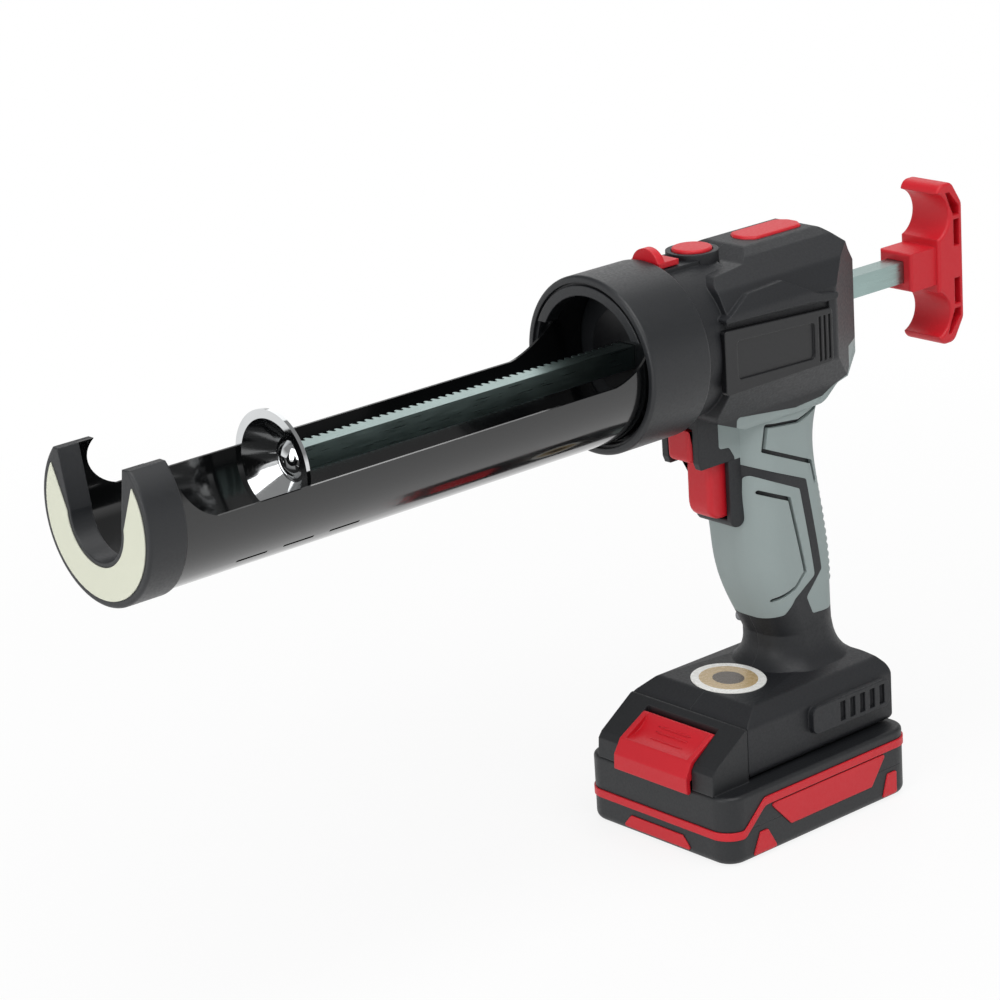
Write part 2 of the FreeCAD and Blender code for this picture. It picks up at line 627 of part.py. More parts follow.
def front_cap():
    cap = axle(CAP_R, CAP_REAR_X, CAP_FRONT_X)
    cap = round_edges(cap, CAP_EDGE, lambda e: e.Closed and e.BoundBox.XMin > CAP_REAR_X + CAP_EDGE)
    cap = cap.cut(axle(TUBE_R + FIT_GAP, CAP_REAR_X - OVERRUN, CAP_FRONT_X - CAP_PLATE))
    cap = cap.cut(wide_block(CAP_REAR_X - OVERRUN, CAP_FRONT_X + OVERRUN, CAP_R, AXIS_Z + CAP_TOP,
                             AXIS_Z + 2 * CAP_TOP))
    cap = cap.cut(axle(CAP_MOUTH_R, CAP_REAR_X - OVERRUN, CAP_FRONT_X + OVERRUN))
    flare = 2 * CAP_MOUTH_TOP - CAP_MOUTH_R
    mouth = [(CAP_MOUTH_R, AXIS_Z), (flare, AXIS_Z + 2 * CAP_TOP)]
    cap = cap.cut(front_prism(mirrored(mouth), 0, CAP_REAR_X - OVERRUN, CAP_FRONT_X + OVERRUN))
    pocket = CAP_FRONT_X + PAD_PROUD - PAD_THICK
    return cap.cut(pad_outline(pocket, FIT_GAP).extrude(V(PAD_THICK + OVERRUN, 0, 0)))


def front_pad():
    return pad_outline(CAP_FRONT_X + PAD_PROUD - PAD_THICK, 0).extrude(V(PAD_THICK, 0, 0))


def rod_end_x():
    """Shoulder of the push rod behind the disc."""
    return DISC_HUB_X - DISC_THICK - DISC_PLAY


def push_rod():
    rear = HANDLE_FRONT_X - SOCKET_DEPTH
    front = rod_end_x()
    slope = math.tan(math.radians(PRESSURE_DEG))
    root = ROD_HALF - (RACK_ADDENDUM_SHARE + DEDENDUM_SHARE) * MODULE
    mouth = PITCH / 4 + (RACK_ADDENDUM_SHARE * MODULE) * slope + BACKLASH / 4
    floor = PITCH / 4 - (DEDENDUM_SHARE * MODULE) * slope + BACKLASH / 4
    first = PINION_X + math.ceil((RACK_REAR_X - PINION_X) / PITCH) * PITCH
    points = [(front, -ROD_HALF), (front, ROD_HALF), (rear, ROD_HALF), (rear, -ROD_HALF)]
    for i in range(RACK_TEETH):
        x = first + i * PITCH
        points += [(x - mouth, -ROD_HALF), (x - floor, -root), (x + floor, -root), (x + mouth, -ROD_HALF)]
    bar = plan_prism(points, 0, AXIS_Z - ROD_HALF, AXIS_Z + ROD_HALF)
    bar = bar.fuse(axle(SPIGOT_R, front, DISC_HUB_X + DISC_PLAY))
    bar = bar.cut(axle(SCREW_SHANK_R + FIT_GAP, DISC_HUB_X - SCREW_SHANK_LENGTH, DISC_HUB_X + OVERRUN))
    return bar.cut(handle_pin_blank(HANDLE_PIN_R + PIN_GAP, -SOCKET_WIDTH, SOCKET_WIDTH))


def plunger_disc():
    rear = DISC_HUB_X - DISC_THICK
    bore = SPIGOT_R + 2 * PIN_GAP
    profile = [(DISC_FRONT_X, DISC_R), (DISC_FRONT_X, DISC_R - DISC_RIM), (DISC_HUB_X, DISC_HUB_R),
               (DISC_HUB_X, bore), (rear, bore), (rear, DISC_HUB_R),
               (DISC_FRONT_X - DISC_THICK, DISC_R - DISC_RIM), (DISC_FRONT_X - DISC_THICK, DISC_R)]
    spots = [V(x, 0, AXIS_Z + r) for x, r in profile]
    return turned([line(spots[i - 1], spots[i]) for i in range(len(spots))])


def plunger_screw():
    seat = DISC_HUB_X + DISC_PLAY
    centre = V(seat, 0, AXIS_Z)
    crown = V(seat + SCREW_HEAD_H, 0, AXIS_Z)
    rim = V(seat, 0, AXIS_Z + SCREW_HEAD_R)
    ball = (SCREW_HEAD_R ** 2 + SCREW_HEAD_H ** 2) / (2 * SCREW_HEAD_H)
    lean = math.asin(SCREW_HEAD_R / ball) / 2
    shoulder = crown + V(-ball * (1 - math.cos(lean)), 0, ball * math.sin(lean))
    head = turned([line(centre, rim), arc(rim, shoulder, crown), line(crown, centre)])
    return head.fuse(axle(SCREW_SHANK_R, DISC_HUB_X - SCREW_SHANK_LENGTH + FIT_GAP, seat))


def handle_pin_blank(radius, y0, y1):
    """Cross pin of the pull handle, or the hole for it."""
    start = V(HANDLE_FRONT_X - SOCKET_DEPTH / 2, y0, AXIS_Z)
    return Part.makeCylinder(radius, y1 - y0, start, Y_DIR)


def handle_head():
    """Cross bar of the pull handle with a scallop for a finger above and below the socket."""
    reach = HANDLE_BACK_X - HANDLE_FRONT_X
    half = HANDLE_WIDTH / 2
    upper = scaled(HANDLE_SHARES, HANDLE_FRONT_X, reach, AXIS_Z, HANDLE_HEIGHT)
    lower = [(x, 2 * AXIS_Z - z) for x, z in reversed(upper)]
    head = side_prism(upper + lower, HANDLE_ROUND, -half, half)
    for sign in (1, -1):
        (x, z), = scaled([SCALLOP_SHARES], HANDLE_FRONT_X, reach, AXIS_Z, sign * HANDLE_HEIGHT)
        head = head.cut(Part.makeCylinder(SCALLOP_R, HANDLE_WIDTH, V(x, -half, z), Y_DIR))
    return round_edges(head, HANDLE_EDGE, lambda e: e.BoundBox.YLength < HANDLE_EDGE)


def pull_handle():
    reach = HANDLE_BACK_X - HANDLE_FRONT_X
    socket = wide_block(HANDLE_FRONT_X + HANDLE_SHARES[1][0] * reach, HANDLE_FRONT_X, SOCKET_WIDTH / 2,
                        AXIS_Z - SOCKET_HEIGHT / 2, AXIS_Z + SOCKET_HEIGHT / 2)
    socket = round_edges(socket, HANDLE_EDGE, lambda e: e.BoundBox.XMin > HANDLE_FRONT_X - HANDLE_EDGE)
    handle = handle_head().fuse(socket)
    for sign in (1, -1):
        for shares in HANDLE_POCKET_SHARES:
            spots = scaled(shares, HANDLE_FRONT_X, reach, AXIS_Z, sign * HANDLE_HEIGHT)
            pocket = side_prism(spots, 0, HANDLE_WIDTH / 2 - HANDLE_POCKET, HANDLE_WIDTH)
            handle = handle.cut([pocket, flipped(pocket)])
    half = ROD_HALF + FIT_GAP
    handle = handle.cut(wide_block(HANDLE_FRONT_X - SOCKET_DEPTH - FIT_GAP, HANDLE_FRONT_X + OVERRUN, half,
                                   AXIS_Z - half, AXIS_Z + half))
    bite = ROD_HALF + HANDLE_PIN_BITE + PIN_GAP
    return handle.cut(handle_pin_blank(HANDLE_PIN_R + PIN_GAP, -HANDLE_WIDTH, bite))


def handle_pin():
    return handle_pin_blank(HANDLE_PIN_R, -SOCKET_WIDTH / 2, ROD_HALF + HANDLE_PIN_BITE)


def gear(teeth, x, y, z0, z1, lean_deg):
    """Spur gear with involute flanks, one tooth centred on the given lean."""
    pitch_r = MODULE * teeth / 2
    base_r = pitch_r * math.cos(math.radians(PRESSURE_DEG))
    tip_r = pitch_r + GEAR_ADDENDUM_SHARE * MODULE
    root_r = pitch_r - DEDENDUM_SHARE * MODULE
    start_r = max(root_r, base_r)

    def involute(r):
        angle = math.acos(min(base_r / r, 1))
        return math.tan(angle) - angle

    half = math.pi / (2 * teeth) - BACKLASH / (4 * pitch_r) + involute(pitch_r)
    radii = [start_r + (tip_r - start_r) * i / (FLANK_POINTS - 1) for i in range(FLANK_POINTS)]
    flank = [(r, half - involute(r)) for r in radii]
    if root_r < base_r:
        flank = [(root_r, half)] + flank
    points = []
    for i in range(teeth):
        middle = math.radians(lean_deg) + 2 * math.pi * i / teeth
        for r, turn in [(r, -a) for r, a in flank] + list(reversed(flank)):
            points.append((x + r * math.cos(middle + turn), y + r * math.sin(middle + turn)))
    return plan_prism(points, 0, z0, z1)


def gear_lean_deg():
    """Direction from the output gear to the driven gear."""
    return math.degrees(math.atan2(PINION_Y, PINION_X - MOTOR_X))


def drive_pinion():
    base = CAVITY_FLOOR_Z - BUSH_LENGTH
    top = GEAR_RIB_Z + GEAR_RIB_THICK
    shaft = post(PINION_SHAFT_R, PINION_X, PINION_Y, base, top)
    teeth = gear(PINION_TEETH, PINION_X, PINION_Y, AXIS_Z - ROD_HALF - MODULE, AXIS_Z + ROD_HALF + MODULE, 90)
    bore = post(CLUTCH_PIN_R + PIN_GAP, PINION_X, PINION_Y, CLUTCH_PIN_Z - RELEASE_STROKE - MODULE, top + OVERRUN)
    return shaft.fuse(teeth).cut(bore)


def driven_gear():
    lean = gear_lean_deg() + 180 + 180 / DRIVEN_TEETH
    wheel = gear(DRIVEN_TEETH, PINION_X, PINION_Y, GEAR_BASE_Z, GEAR_BASE_Z + GEAR_THICK, lean)
    wheel = wheel.fuse(post(BUSH_R, PINION_X, PINION_Y, CAVITY_FLOOR_Z + RUN_GAP, GEAR_BASE_Z))
    return wheel.cut(post(PINION_SHAFT_R + FIT_GAP, PINION_X, PINION_Y, CAVITY_FLOOR_Z, GEAR_BASE_Z + 2 * GEAR_THICK))


def output_gear():
    wheel = gear(OUTPUT_TEETH, MOTOR_X, 0, GEAR_BASE_Z, GEAR_BASE_Z + GEAR_THICK, gear_lean_deg())
    return wheel.fuse(post(OUTPUT_SHAFT_R, MOTOR_X, 0, GEARBOX_TOP_Z - OUTPUT_SHAFT_DEPTH, GEAR_BASE_Z))


def pinion_bush():
    bush = post(BUSH_R, PINION_X, PINION_Y, CAVITY_FLOOR_Z - BUSH_LENGTH, CAVITY_FLOOR_Z)
    return bush.cut(post(PINION_SHAFT_R + PIN_GAP, PINION_X, PINION_Y, CAVITY_FLOOR_Z - 2 * BUSH_LENGTH,
                         CAVITY_FLOOR_Z + OVERRUN))


def motor_can():
    top = MOTOR_BASE_Z + MOTOR_HEIGHT
    can = post(MOTOR_R, MOTOR_X, 0, MOTOR_BASE_Z, top)
    can = can.fuse(post(MOTOR_STUB_R, MOTOR_X, 0, MOTOR_BASE_Z - MOTOR_STUB, MOTOR_BASE_Z))
    return can.fuse(post(MOTOR_SHAFT_R, MOTOR_X, 0, top, top + MOTOR_SHAFT))


def gearbox_case():
    base = MOTOR_BASE_Z + MOTOR_HEIGHT
    case = post(GEARBOX_R, MOTOR_X, 0, base, GEARBOX_TOP_Z)
    case = case.cut(post(GEARBOX_R - GEARBOX_WALL, MOTOR_X, 0, base + GEARBOX_WALL, GEARBOX_TOP_Z - GEARBOX_WALL))
    case = case.cut(post(MOTOR_SHAFT_R + FIT_GAP, MOTOR_X, 0, base - OVERRUN, base + 2 * GEARBOX_WALL))
    return case.cut(post(OUTPUT_SHAFT_R + PIN_GAP, MOTOR_X, 0, GEARBOX_TOP_Z - 2 * GEARBOX_WALL,
                         GEARBOX_TOP_Z + OVERRUN))


def upper_body(inset):
    """Faceted head of the housing, where three outlines meet."""
    side = scaled(BODY_SIDE_SHARES, BODY_REAR_X, BODY_LENGTH, BODY_BASE_Z, BODY_HEIGHT)
    front = mirrored(scaled(BODY_FRONT_SHARES, 0, BODY_HALF_WIDTH, BODY_BASE_Z, BODY_HEIGHT))
    plan = scaled(BODY_PLAN_SHARES, BODY_REAR_X, BODY_LENGTH, 0, BODY_HALF_WIDTH)
    plan += [(x, -y) for x, y in reversed(plan)]
    head = side_prism(side, BODY_ROUND, -BODY_HALF_WIDTH, BODY_HALF_WIDTH, inset)
    head = head.common(front_prism(front, BODY_ROUND, BODY_REAR_X, BODY_FRONT_X, inset))
    return head.common(plan_prism(plan, BODY_ROUND, BODY_BASE_Z, BODY_BASE_Z + BODY_HEIGHT, inset))


def section_loft(rows, base, height, inset):
    """Loft through rounded sections given as height, rear, front and half width shares."""
    wires = []
    for level, rear, front, half in rows:
        x0 = GRIP_X + rear * GRIP_LENGTH + inset
        x1 = GRIP_X + front * GRIP_LENGTH - inset
        b = half * GRIP_WIDTH - inset
        z = base + level * height
        corners = [(x0, -b), (x1, -b), (x1, b), (x0, b)]
        wires.append(outline(corners, GRIP_CORNER_SHARE * b, lambda x, y, z=z: V(x, y, z)))
    return Part.makeLoft(wires, True, False)


def grip_core(inset):
    """Head, handle and trigger block, drawn in by the thickness of what covers them."""
    half = GRIP_BLOCK_HALF_SHARE * GRIP_WIDTH - inset
    spots = scaled(GRIP_BLOCK_SHARES, GRIP_X, GRIP_LENGTH, GRIP_Z, GRIP_HEIGHT)
    handle = section_loft(GRIP_SECTION_SHARES, GRIP_Z, GRIP_HEIGHT, inset)
    handle = handle.fuse(side_prism(spots, 0, -half, half, inset))
    return upper_body(inset).fuse(handle)


def groove_cutter(shares, y0, y1):
    """Strip of even width along a line of points, for one side of the handle."""
    spots = scaled(shares, GRIP_X, GRIP_LENGTH, GRIP_Z, GRIP_HEIGHT)
    half = SKIN_GROOVE_WIDTH / 2
    pieces = []
    for (xa, za), (xb, zb) in zip(spots, spots[1:]):
        run = math.hypot(xb - xa, zb - za)
        nx = -(zb - za) / run * half
        nz = (xb - xa) / run * half
        sides = [(xa + nx, za + nz), (xb + nx, zb + nz), (xb - nx, zb - nz), (xa - nx, za - nz)]
        pieces.append(side_prism(sides, 0, y0, y1))
    for x, z in spots:
        pieces.append(Part.makeCylinder(half, y1 - y0, V(x, y0, z), Y_DIR))
    return pieces[0].fuse(pieces[1:])


def skin_blank(shares, outer, core):
    """Soft skin that lies over the handle inside an outline seen from the side."""
    spots = scaled(shares, GRIP_X, GRIP_LENGTH, GRIP_Z, GRIP_HEIGHT)
    region = side_prism(spots, SKIN_ROUND, -BODY_HALF_WIDTH, BODY_HALF_WIDTH)
    return outer.common(region).cut(core)


def grooved(skin, shares):
    """Skin with its line let through on both sides and the way of the trigger left open."""
    strip = groove_cutter(shares, 0, BODY_HALF_WIDTH)
    return skin.cut([strip, flipped(strip), trigger_slot()])


def foot():
    side = scaled(FOOT_SIDE_SHARES, FOOT_REAR_X, FOOT_LENGTH, FOOT_BASE_Z, FOOT_HEIGHT)
    front = mirrored(scaled(FOOT_FRONT_SHARES, 0, FOOT_HALF_WIDTH, FOOT_BASE_Z, FOOT_HEIGHT))
    shoe = side_prism(side, FOOT_ROUND, -FOOT_HALF_WIDTH, FOOT_HALF_WIDTH)
    shoe = shoe.common(front_prism(front, FOOT_ROUND, FOOT_REAR_X, FOOT_REAR_X + FOOT_LENGTH))
    shoe = shoe.fuse(section_loft(FLARE_SHARES, FOOT_BASE_Z, FOOT_HEIGHT, 0))
    for sign in (1, -1):
        shoe = shoe.fuse(foot_pad() if sign > 0 else flipped(foot_pad()))
    return shoe


def foot_pad():
    """Ribbed pad on the side of the foot."""
    x1 = PAD_REAR_X + PAD_LENGTH
    z1 = PAD_BASE_Z + PAD_HEIGHT
    corners = [(PAD_REAR_X, PAD_BASE_Z), (x1, PAD_BASE_Z), (x1, z1), (PAD_REAR_X, z1)]
    face_y = FOOT_HALF_WIDTH + PAD_OUT
    pad = side_prism(corners, PAD_ROUND, FOOT_HALF_WIDTH - PAD_OUT, face_y)
    for i in range(PAD_RIB_COUNT):
        x = PAD_REAR_X + PAD_ROUND + i * PAD_RIB_PITCH
        pad = pad.cut(block(x, x + PAD_RIB_LENGTH, face_y - PAD_RIB_DEPTH, face_y + OVERRUN,
                            PAD_BASE_Z + PAD_ROUND / 2, z1 - PAD_ROUND / 2))
    return pad


def foot_channel():
    """T-shaped way for the rails of the pack, open to the front."""
    front = FOOT_REAR_X + FOOT_LENGTH + OVERRUN
    stem = wide_block(CHANNEL_REAR_X, front, STEM_HALF_WIDTH + RUN_GAP, FOOT_BASE_Z - OVERRUN, STEM_TOP_Z)
    head = wide_block(CHANNEL_REAR_X, front, HEAD_HALF_WIDTH + RUN_GAP, STEM_TOP_Z - RUN_GAP, HEAD_TOP_Z + RUN_GAP)
    pocket = wide_block(CONTACT_REAR_X - FIT_GAP, CHANNEL_REAR_X + OVERRUN, CONTACT_HALF_WIDTH + FIT_GAP,
                        CONTACT_BASE_Z - FIT_GAP, HEAD_TOP_Z + FIT_GAP)
    return stem.fuse([head, pocket])


def plaque_blank(y0, y1, grow):
    """Side plaque between two distances from the middle, grown for its recess."""
    spots = scaled(PLAQUE_SHARES, PLAQUE_FRONT_X - PLAQUE_LENGTH, PLAQUE_LENGTH, PLAQUE_BASE_Z, PLAQUE_HEIGHT)
    return side_prism(spots, PLAQUE_ROUND, y0, y1, -grow)


def plaque():
    face = BODY_HALF_WIDTH + PLAQUE_PROUD
    rear = PLAQUE_FRONT_X - PLAQUE_LENGTH
    plate = plaque_blank(face - PLAQUE_THICK, face, 0)
    panel = scaled(PLAQUE_PANEL_SHARES, rear, PLAQUE_LENGTH, PLAQUE_BASE_Z, PLAQUE_HEIGHT)
    plate = plate.cut(side_prism(panel, PLAQUE_ROUND, face - PLAQUE_PANEL_DEPTH, face + OVERRUN))
    (first, last), (low, high) = PLAQUE_RIB_SHARES
    step = (last - first) / PLAQUE_RIB_COUNT
    for i in range(PLAQUE_RIB_COUNT):
        x = rear + (first + i * step) * PLAQUE_LENGTH
        plate = plate.cut(block(x, x + step * PLAQUE_LENGTH / 2, face - PLAQUE_PANEL_DEPTH, face + OVERRUN,
                                PLAQUE_BASE_Z + low * PLAQUE_HEIGHT, PLAQUE_BASE_Z + high * PLAQUE_HEIGHT))
    return plate


def ridge():
    """Raised line of the head above the plaque."""
    spots = scaled(RIDGE_SHARES, BODY_REAR_X, BODY_LENGTH, BODY_BASE_Z, BODY_HEIGHT)
    face = BODY_HALF_WIDTH + RIDGE_PROUD
    bar = side_prism(spots, BODY_ROUND, BODY_HALF_WIDTH - RIDGE_DEPTH, face)
    section = scaled(BODY_FRONT_SHARES, 0, face, BODY_BASE_Z, BODY_HEIGHT + RIDGE_PROUD)
    return bar.common(front_prism(mirrored(section), BODY_ROUND, BODY_REAR_X, BODY_FRONT_X))


def deck_z(x):
    """Height of the flat top of the head at a place along it."""
    first, last = DECK_CORNERS
    deck = scaled(BODY_SIDE_SHARES[first:last], BODY_REAR_X, BODY_LENGTH, BODY_BASE_Z, BODY_HEIGHT)
    (xa, za), (xb, zb) = deck
    return za + (zb - za) * (x - xa) / (xb - xa)


def inlay_blank(grow, proud):
    """Top inlay standing on its pocket floor."""
    spots = scaled(INLAY_SHARES, INLAY_X, INLAY_LENGTH + 2 * grow, 0, INLAY_WIDTH + 2 * grow)
    top = deck_z(INLAY_X)
    return plan_prism(spots, INLAY_ROUND, top + INLAY_PROUD - INLAY_THICK, top + proud)


def top_inlay():
    inlay = inlay_blank(0, INLAY_PROUD)
    crown = inlay.BoundBox.ZMax - INLAY_PROUD
    return round_edges(inlay, INLAY_PROUD, lambda e: e.BoundBox.ZMin > crown)


def release_bore(radius, z0, z1):
    return post(radius, RELEASE_X, 0, z0, z1)


def button_boss():
    ring = release_bore(BOSS_R, BOSS_BASE_Z, BOSS_TOP_Z)
    return ring.cut(release_bore(RELEASE_R + RUN_GAP, BOSS_BASE_Z - OVERRUN, BOSS_TOP_Z + OVERRUN))


def release_button():
    seat = RELEASE_TOP_Z - RELEASE_HEAD
    head = release_bore(RELEASE_R, seat, RELEASE_TOP_Z)
    head = round_edges(head, RELEASE_DOME, lambda e: e.BoundBox.ZMin > RELEASE_TOP_Z - RELEASE_DOME)
    return head.fuse(release_bore(RELEASE_STEM_R, BRIDGE_Z + BRIDGE_THICK, seat))


def release_spring_r():
    return RELEASE_STEM_R + RUN_GAP + RELEASE_SPRING_WALL


def release_spring():
    z0 = STEM_GUIDE_Z + STEM_GUIDE_FLOOR
    z1 = RELEASE_TOP_Z - RELEASE_HEAD
    coil = release_bore(release_spring_r(), z0, z1)
    return coil.cut(release_bore(RELEASE_STEM_R + RUN_GAP, z0 - OVERRUN, z1 + OVERRUN))


def release_bridge():
    run = math.hypot(RELEASE_X - PINION_X, PINION_Y)
    nx = PINION_Y / run * BRIDGE_WIDTH / 2
    ny = (RELEASE_X - PINION_X) / run * BRIDGE_WIDTH / 2
    bar = plan_prism([(RELEASE_X + nx, ny), (PINION_X + nx, PINION_Y + ny), (PINION_X - nx, PINION_Y - ny),
                      (RELEASE_X - nx, -ny)], 0, BRIDGE_Z, BRIDGE_Z + BRIDGE_THICK)
    ends = [post(BRIDGE_WIDTH / 2, x, y, BRIDGE_Z, BRIDGE_Z + BRIDGE_THICK)
            for x, y in ((RELEASE_X, 0), (PINION_X, PINION_Y))]
    return bar.fuse(ends).removeSplitter()


def clutch_pin():
    return post(CLUTCH_PIN_R, PINION_X, PINION_Y, CLUTCH_PIN_Z, BRIDGE_Z)


def peg_rear_x():
    return CATCH_FRONT_X - PEG_SETBACK - PEG_LENGTH


def barrel_catch():
    half = CATCH_WIDTH / 2
    top = CATCH_BASE_Z + CATCH_PLATE
    plate = wide_block(CATCH_FRONT_X - CATCH_LENGTH, CATCH_FRONT_X, half, CATCH_BASE_Z, top)
    x = CATCH_FRONT_X - CATCH_TAB_THICK
    ends = [V(x, -half, CATCH_BASE_Z), V(x, 0, CATCH_TAB_TOP_Z), V(x, half, CATCH_BASE_Z)]
    tab = Part.Face(Part.Wire([arc(*ends), line(ends[2], ends[0])])).extrude(V(CATCH_TAB_THICK, 0, 0))
    tongue = wide_block(CATCH_FRONT_X, CATCH_FRONT_X + TONGUE_REACH, TONGUE_WIDTH / 2, CATCH_BASE_Z,
                        CATCH_BASE_Z + TONGUE_THICK)
    peg = wide_block(peg_rear_x(), peg_rear_x() + PEG_LENGTH, PEG_WIDTH / 2, CATCH_BASE_Z - PEG_DEPTH, CATCH_BASE_Z)
    return plate.fuse([tab, tongue, peg]).removeSplitter()


def spring_along_x(radius, wall, x0, x1, z):
    """Small coil spring drawn as a sleeve."""
    start = V(x0, 0, z)
    outer = Part.makeCylinder(radius, x1 - x0, start, X_DIR)
    return outer.cut(Part.makeCylinder(radius - wall, x1 - x0, start, X_DIR))


def catch_spring():
    return spring_along_x(PEG_WIDTH / 2, CATCH_SPRING_WALL, peg_rear_x() - CATCH_SPRING_LENGTH, peg_rear_x(),
                          CATCH_BASE_Z - RUN_GAP - PEG_WIDTH / 2)


def trigger():
    spots = scaled(TRIGGER_SHARES, TRIGGER_REAR_X, TRIGGER_LENGTH, TRIGGER_BASE_Z, TRIGGER_HEIGHT)
    lever = side_prism(spots, TRIGGER_ROUND, -TRIGGER_WIDTH / 2, TRIGGER_WIDTH / 2)
    front = TRIGGER_REAR_X + TRIGGER_SHARES[1][0] * TRIGGER_LENGTH
    return round_edges(lever, TRIGGER_EDGE, lambda e: e.BoundBox.XMin > front and e.BoundBox.YLength < TRIGGER_EDGE)


def switch_front_x():
    return SWITCH_REAR_X + SWITCH_LENGTH


def trigger_slot():
    """Way of the trigger through the front of the handle."""
    return wide_block(switch_front_x(), TRIGGER_REAR_X + TRIGGER_LENGTH + OVERRUN, TRIGGER_WIDTH / 2 + RUN_GAP,
                      TRIGGER_BASE_Z - RUN_GAP, TRIGGER_BASE_Z + TRIGGER_HEIGHT + RUN_GAP)


def trigger_spring():
    return spring_along_x(TRIGGER_SPRING_R, TRIGGER_SPRING_WALL, switch_front_x(), TRIGGER_REAR_X,
                          SWITCH_BASE_Z + SWITCH_HEIGHT / 2)


def switch_body(grow=0):
    return wide_block(SWITCH_REAR_X - grow, switch_front_x() + grow, SWITCH_WIDTH / 2 + grow, SWITCH_BASE_Z - grow,
                      SWITCH_BASE_Z + SWITCH_HEIGHT + grow)


def control_board(grow=0):
    return wide_block(BOARD_X - grow, BOARD_X + BOARD_LENGTH + grow, BOARD_THICK / 2 + grow, BOARD_BASE_Z - grow,
                      BOARD_BASE_Z + BOARD_HEIGHT + grow)


def housing_screw(spot, grow=0, sink=0):
    """Screw from the right side, or the hole for it."""
    (x, z), = scaled([spot], GRIP_X, GRIP_LENGTH, GRIP_Z, GRIP_HEIGHT)
    shank = Part.makeCylinder(SCREW_R + grow, SCREW_SEAT + SCREW_REACH + grow, V(x, -SCREW_SEAT, z), Y_DIR)
    head_length = SCREW_CAP_H + sink
    head = Part.makeCylinder(SCREW_CAP_R + grow, head_length, V(x, -SCREW_SEAT - head_length, z), Y_DIR)
    return shank.fuse(head)


def square_hole(x0, x1, half):
    return wide_block(x0, x1, half, AXIS_Z - half, AXIS_Z + half)


def nose_ring():
    front = BODY_FRONT_X + NOSE_RING_LENGTH
    ring = axle(TUBE_R + FIT_GAP - RUN_GAP, BODY_FRONT_X, front)
    return ring.cut(axle(NOSE_HOLE_R, BODY_FRONT_X - OVERRUN, front + OVERRUN))


def front_guide():
    seat = BODY_FRONT_X + NOSE_RING_LENGTH
    sleeve = axle(NOSE_HOLE_R - FIT_GAP, CAVITY_FRONT_X, seat)
    sleeve = sleeve.fuse(axle(GUIDE_FLANGE_R, seat, seat + GUIDE_FLANGE))
    return sleeve.cut(square_hole(CAVITY_FRONT_X - OVERRUN, BODY_FRONT_X + COLLAR_LENGTH, ROD_HALF + DISC_PLAY))


def rear_guide():
    guide = square_hole(BODY_REAR_X - GUIDE_PROUD, CAVITY_REAR_X, GUIDE_REAR_SIDE / 2 - FIT_GAP)
    return guide.cut(square_hole(BODY_REAR_X - OVERRUN, CAVITY_REAR_X + OVERRUN, ROD_HALF + DISC_PLAY))


def contact_block():
    return wide_block(CONTACT_REAR_X, RAIL_REAR_X - RUN_GAP, CONTACT_HALF_WIDTH, CONTACT_BASE_Z, HEAD_TOP_Z)


def contact_blade():
    x0 = RAIL_REAR_X - RUN_GAP
    z0 = (CONTACT_BASE_Z + HEAD_TOP_Z - BLADE_HEIGHT) / 2
    return block(x0, x0 + BLADE_LENGTH, BLADE_Y - BLADE_THICK / 2, BLADE_Y + BLADE_THICK / 2, z0, z0 + BLADE_HEIGHT)


def oval_label():
    first, last = ROOF_CORNERS
    (xa, za), (xb, zb) = scaled(FOOT_SIDE_SHARES[first:last], FOOT_REAR_X, FOOT_LENGTH, FOOT_BASE_Z, FOOT_HEIGHT)
    slope = (za - zb) / (xa - xb)
    rim = Part.Ellipse(V(0, LABEL_HALF_WIDTH, 0), V(LABEL_HALF_LENGTH, 0, 0), V(0, 0, 0)).toShape()
    label = Part.Face(Part.Wire(rim)).extrude(V(0, 0, LABEL_THICK))
    label.rotate(V(0, 0, 0), Y_DIR, -math.degrees(math.atan(slope)))
    label.translate(V(LABEL_X, 0, zb + slope * (LABEL_X - xb)))
    return label


def head_cavity():
    room = upper_body(CAVITY_WALL)
    return room.common(wide_block(CAVITY_REAR_X, CAVITY_FRONT_X, BODY_HALF_WIDTH, CAVITY_FLOOR_Z, CAVITY_ROOF_Z))


def inner_ribs():
    """Gear rib and stem guide that stand in the head cavity."""
    rib = wide_block(PINION_X - GEAR_RIB_LENGTH / 2, PINION_X + GEAR_RIB_LENGTH / 2, BODY_HALF_WIDTH, GEAR_RIB_Z,
                     GEAR_RIB_Z + GEAR_RIB_THICK)
    rib = rib.common(upper_body(CAVITY_WALL / 2))
    guide = release_bore(STEM_GUIDE_R, STEM_GUIDE_Z, CAVITY_ROOF_Z + STEM_GUIDE_FLOOR)
    return [rib, guide]


def release_holes():
    """Stepped bore for the button, its spring and its stem."""
    bottom = RELEASE_TOP_Z - RELEASE_HEAD - RELEASE_STROKE - RUN_GAP
    return [release_bore(BOSS_R + FIT_GAP, BOSS_BASE_Z, RELEASE_TOP_Z + OVERRUN),
            release_bore(RELEASE_R + RUN_GAP, bottom, BOSS_TOP_Z),
            release_bore(release_spring_r() + RUN_GAP, STEM_GUIDE_Z + STEM_GUIDE_FLOOR, BOSS_TOP_Z),
            release_bore(RELEASE_STEM_R + 2 * PIN_GAP, STEM_GUIDE_Z - OVERRUN, BOSS_TOP_Z)]


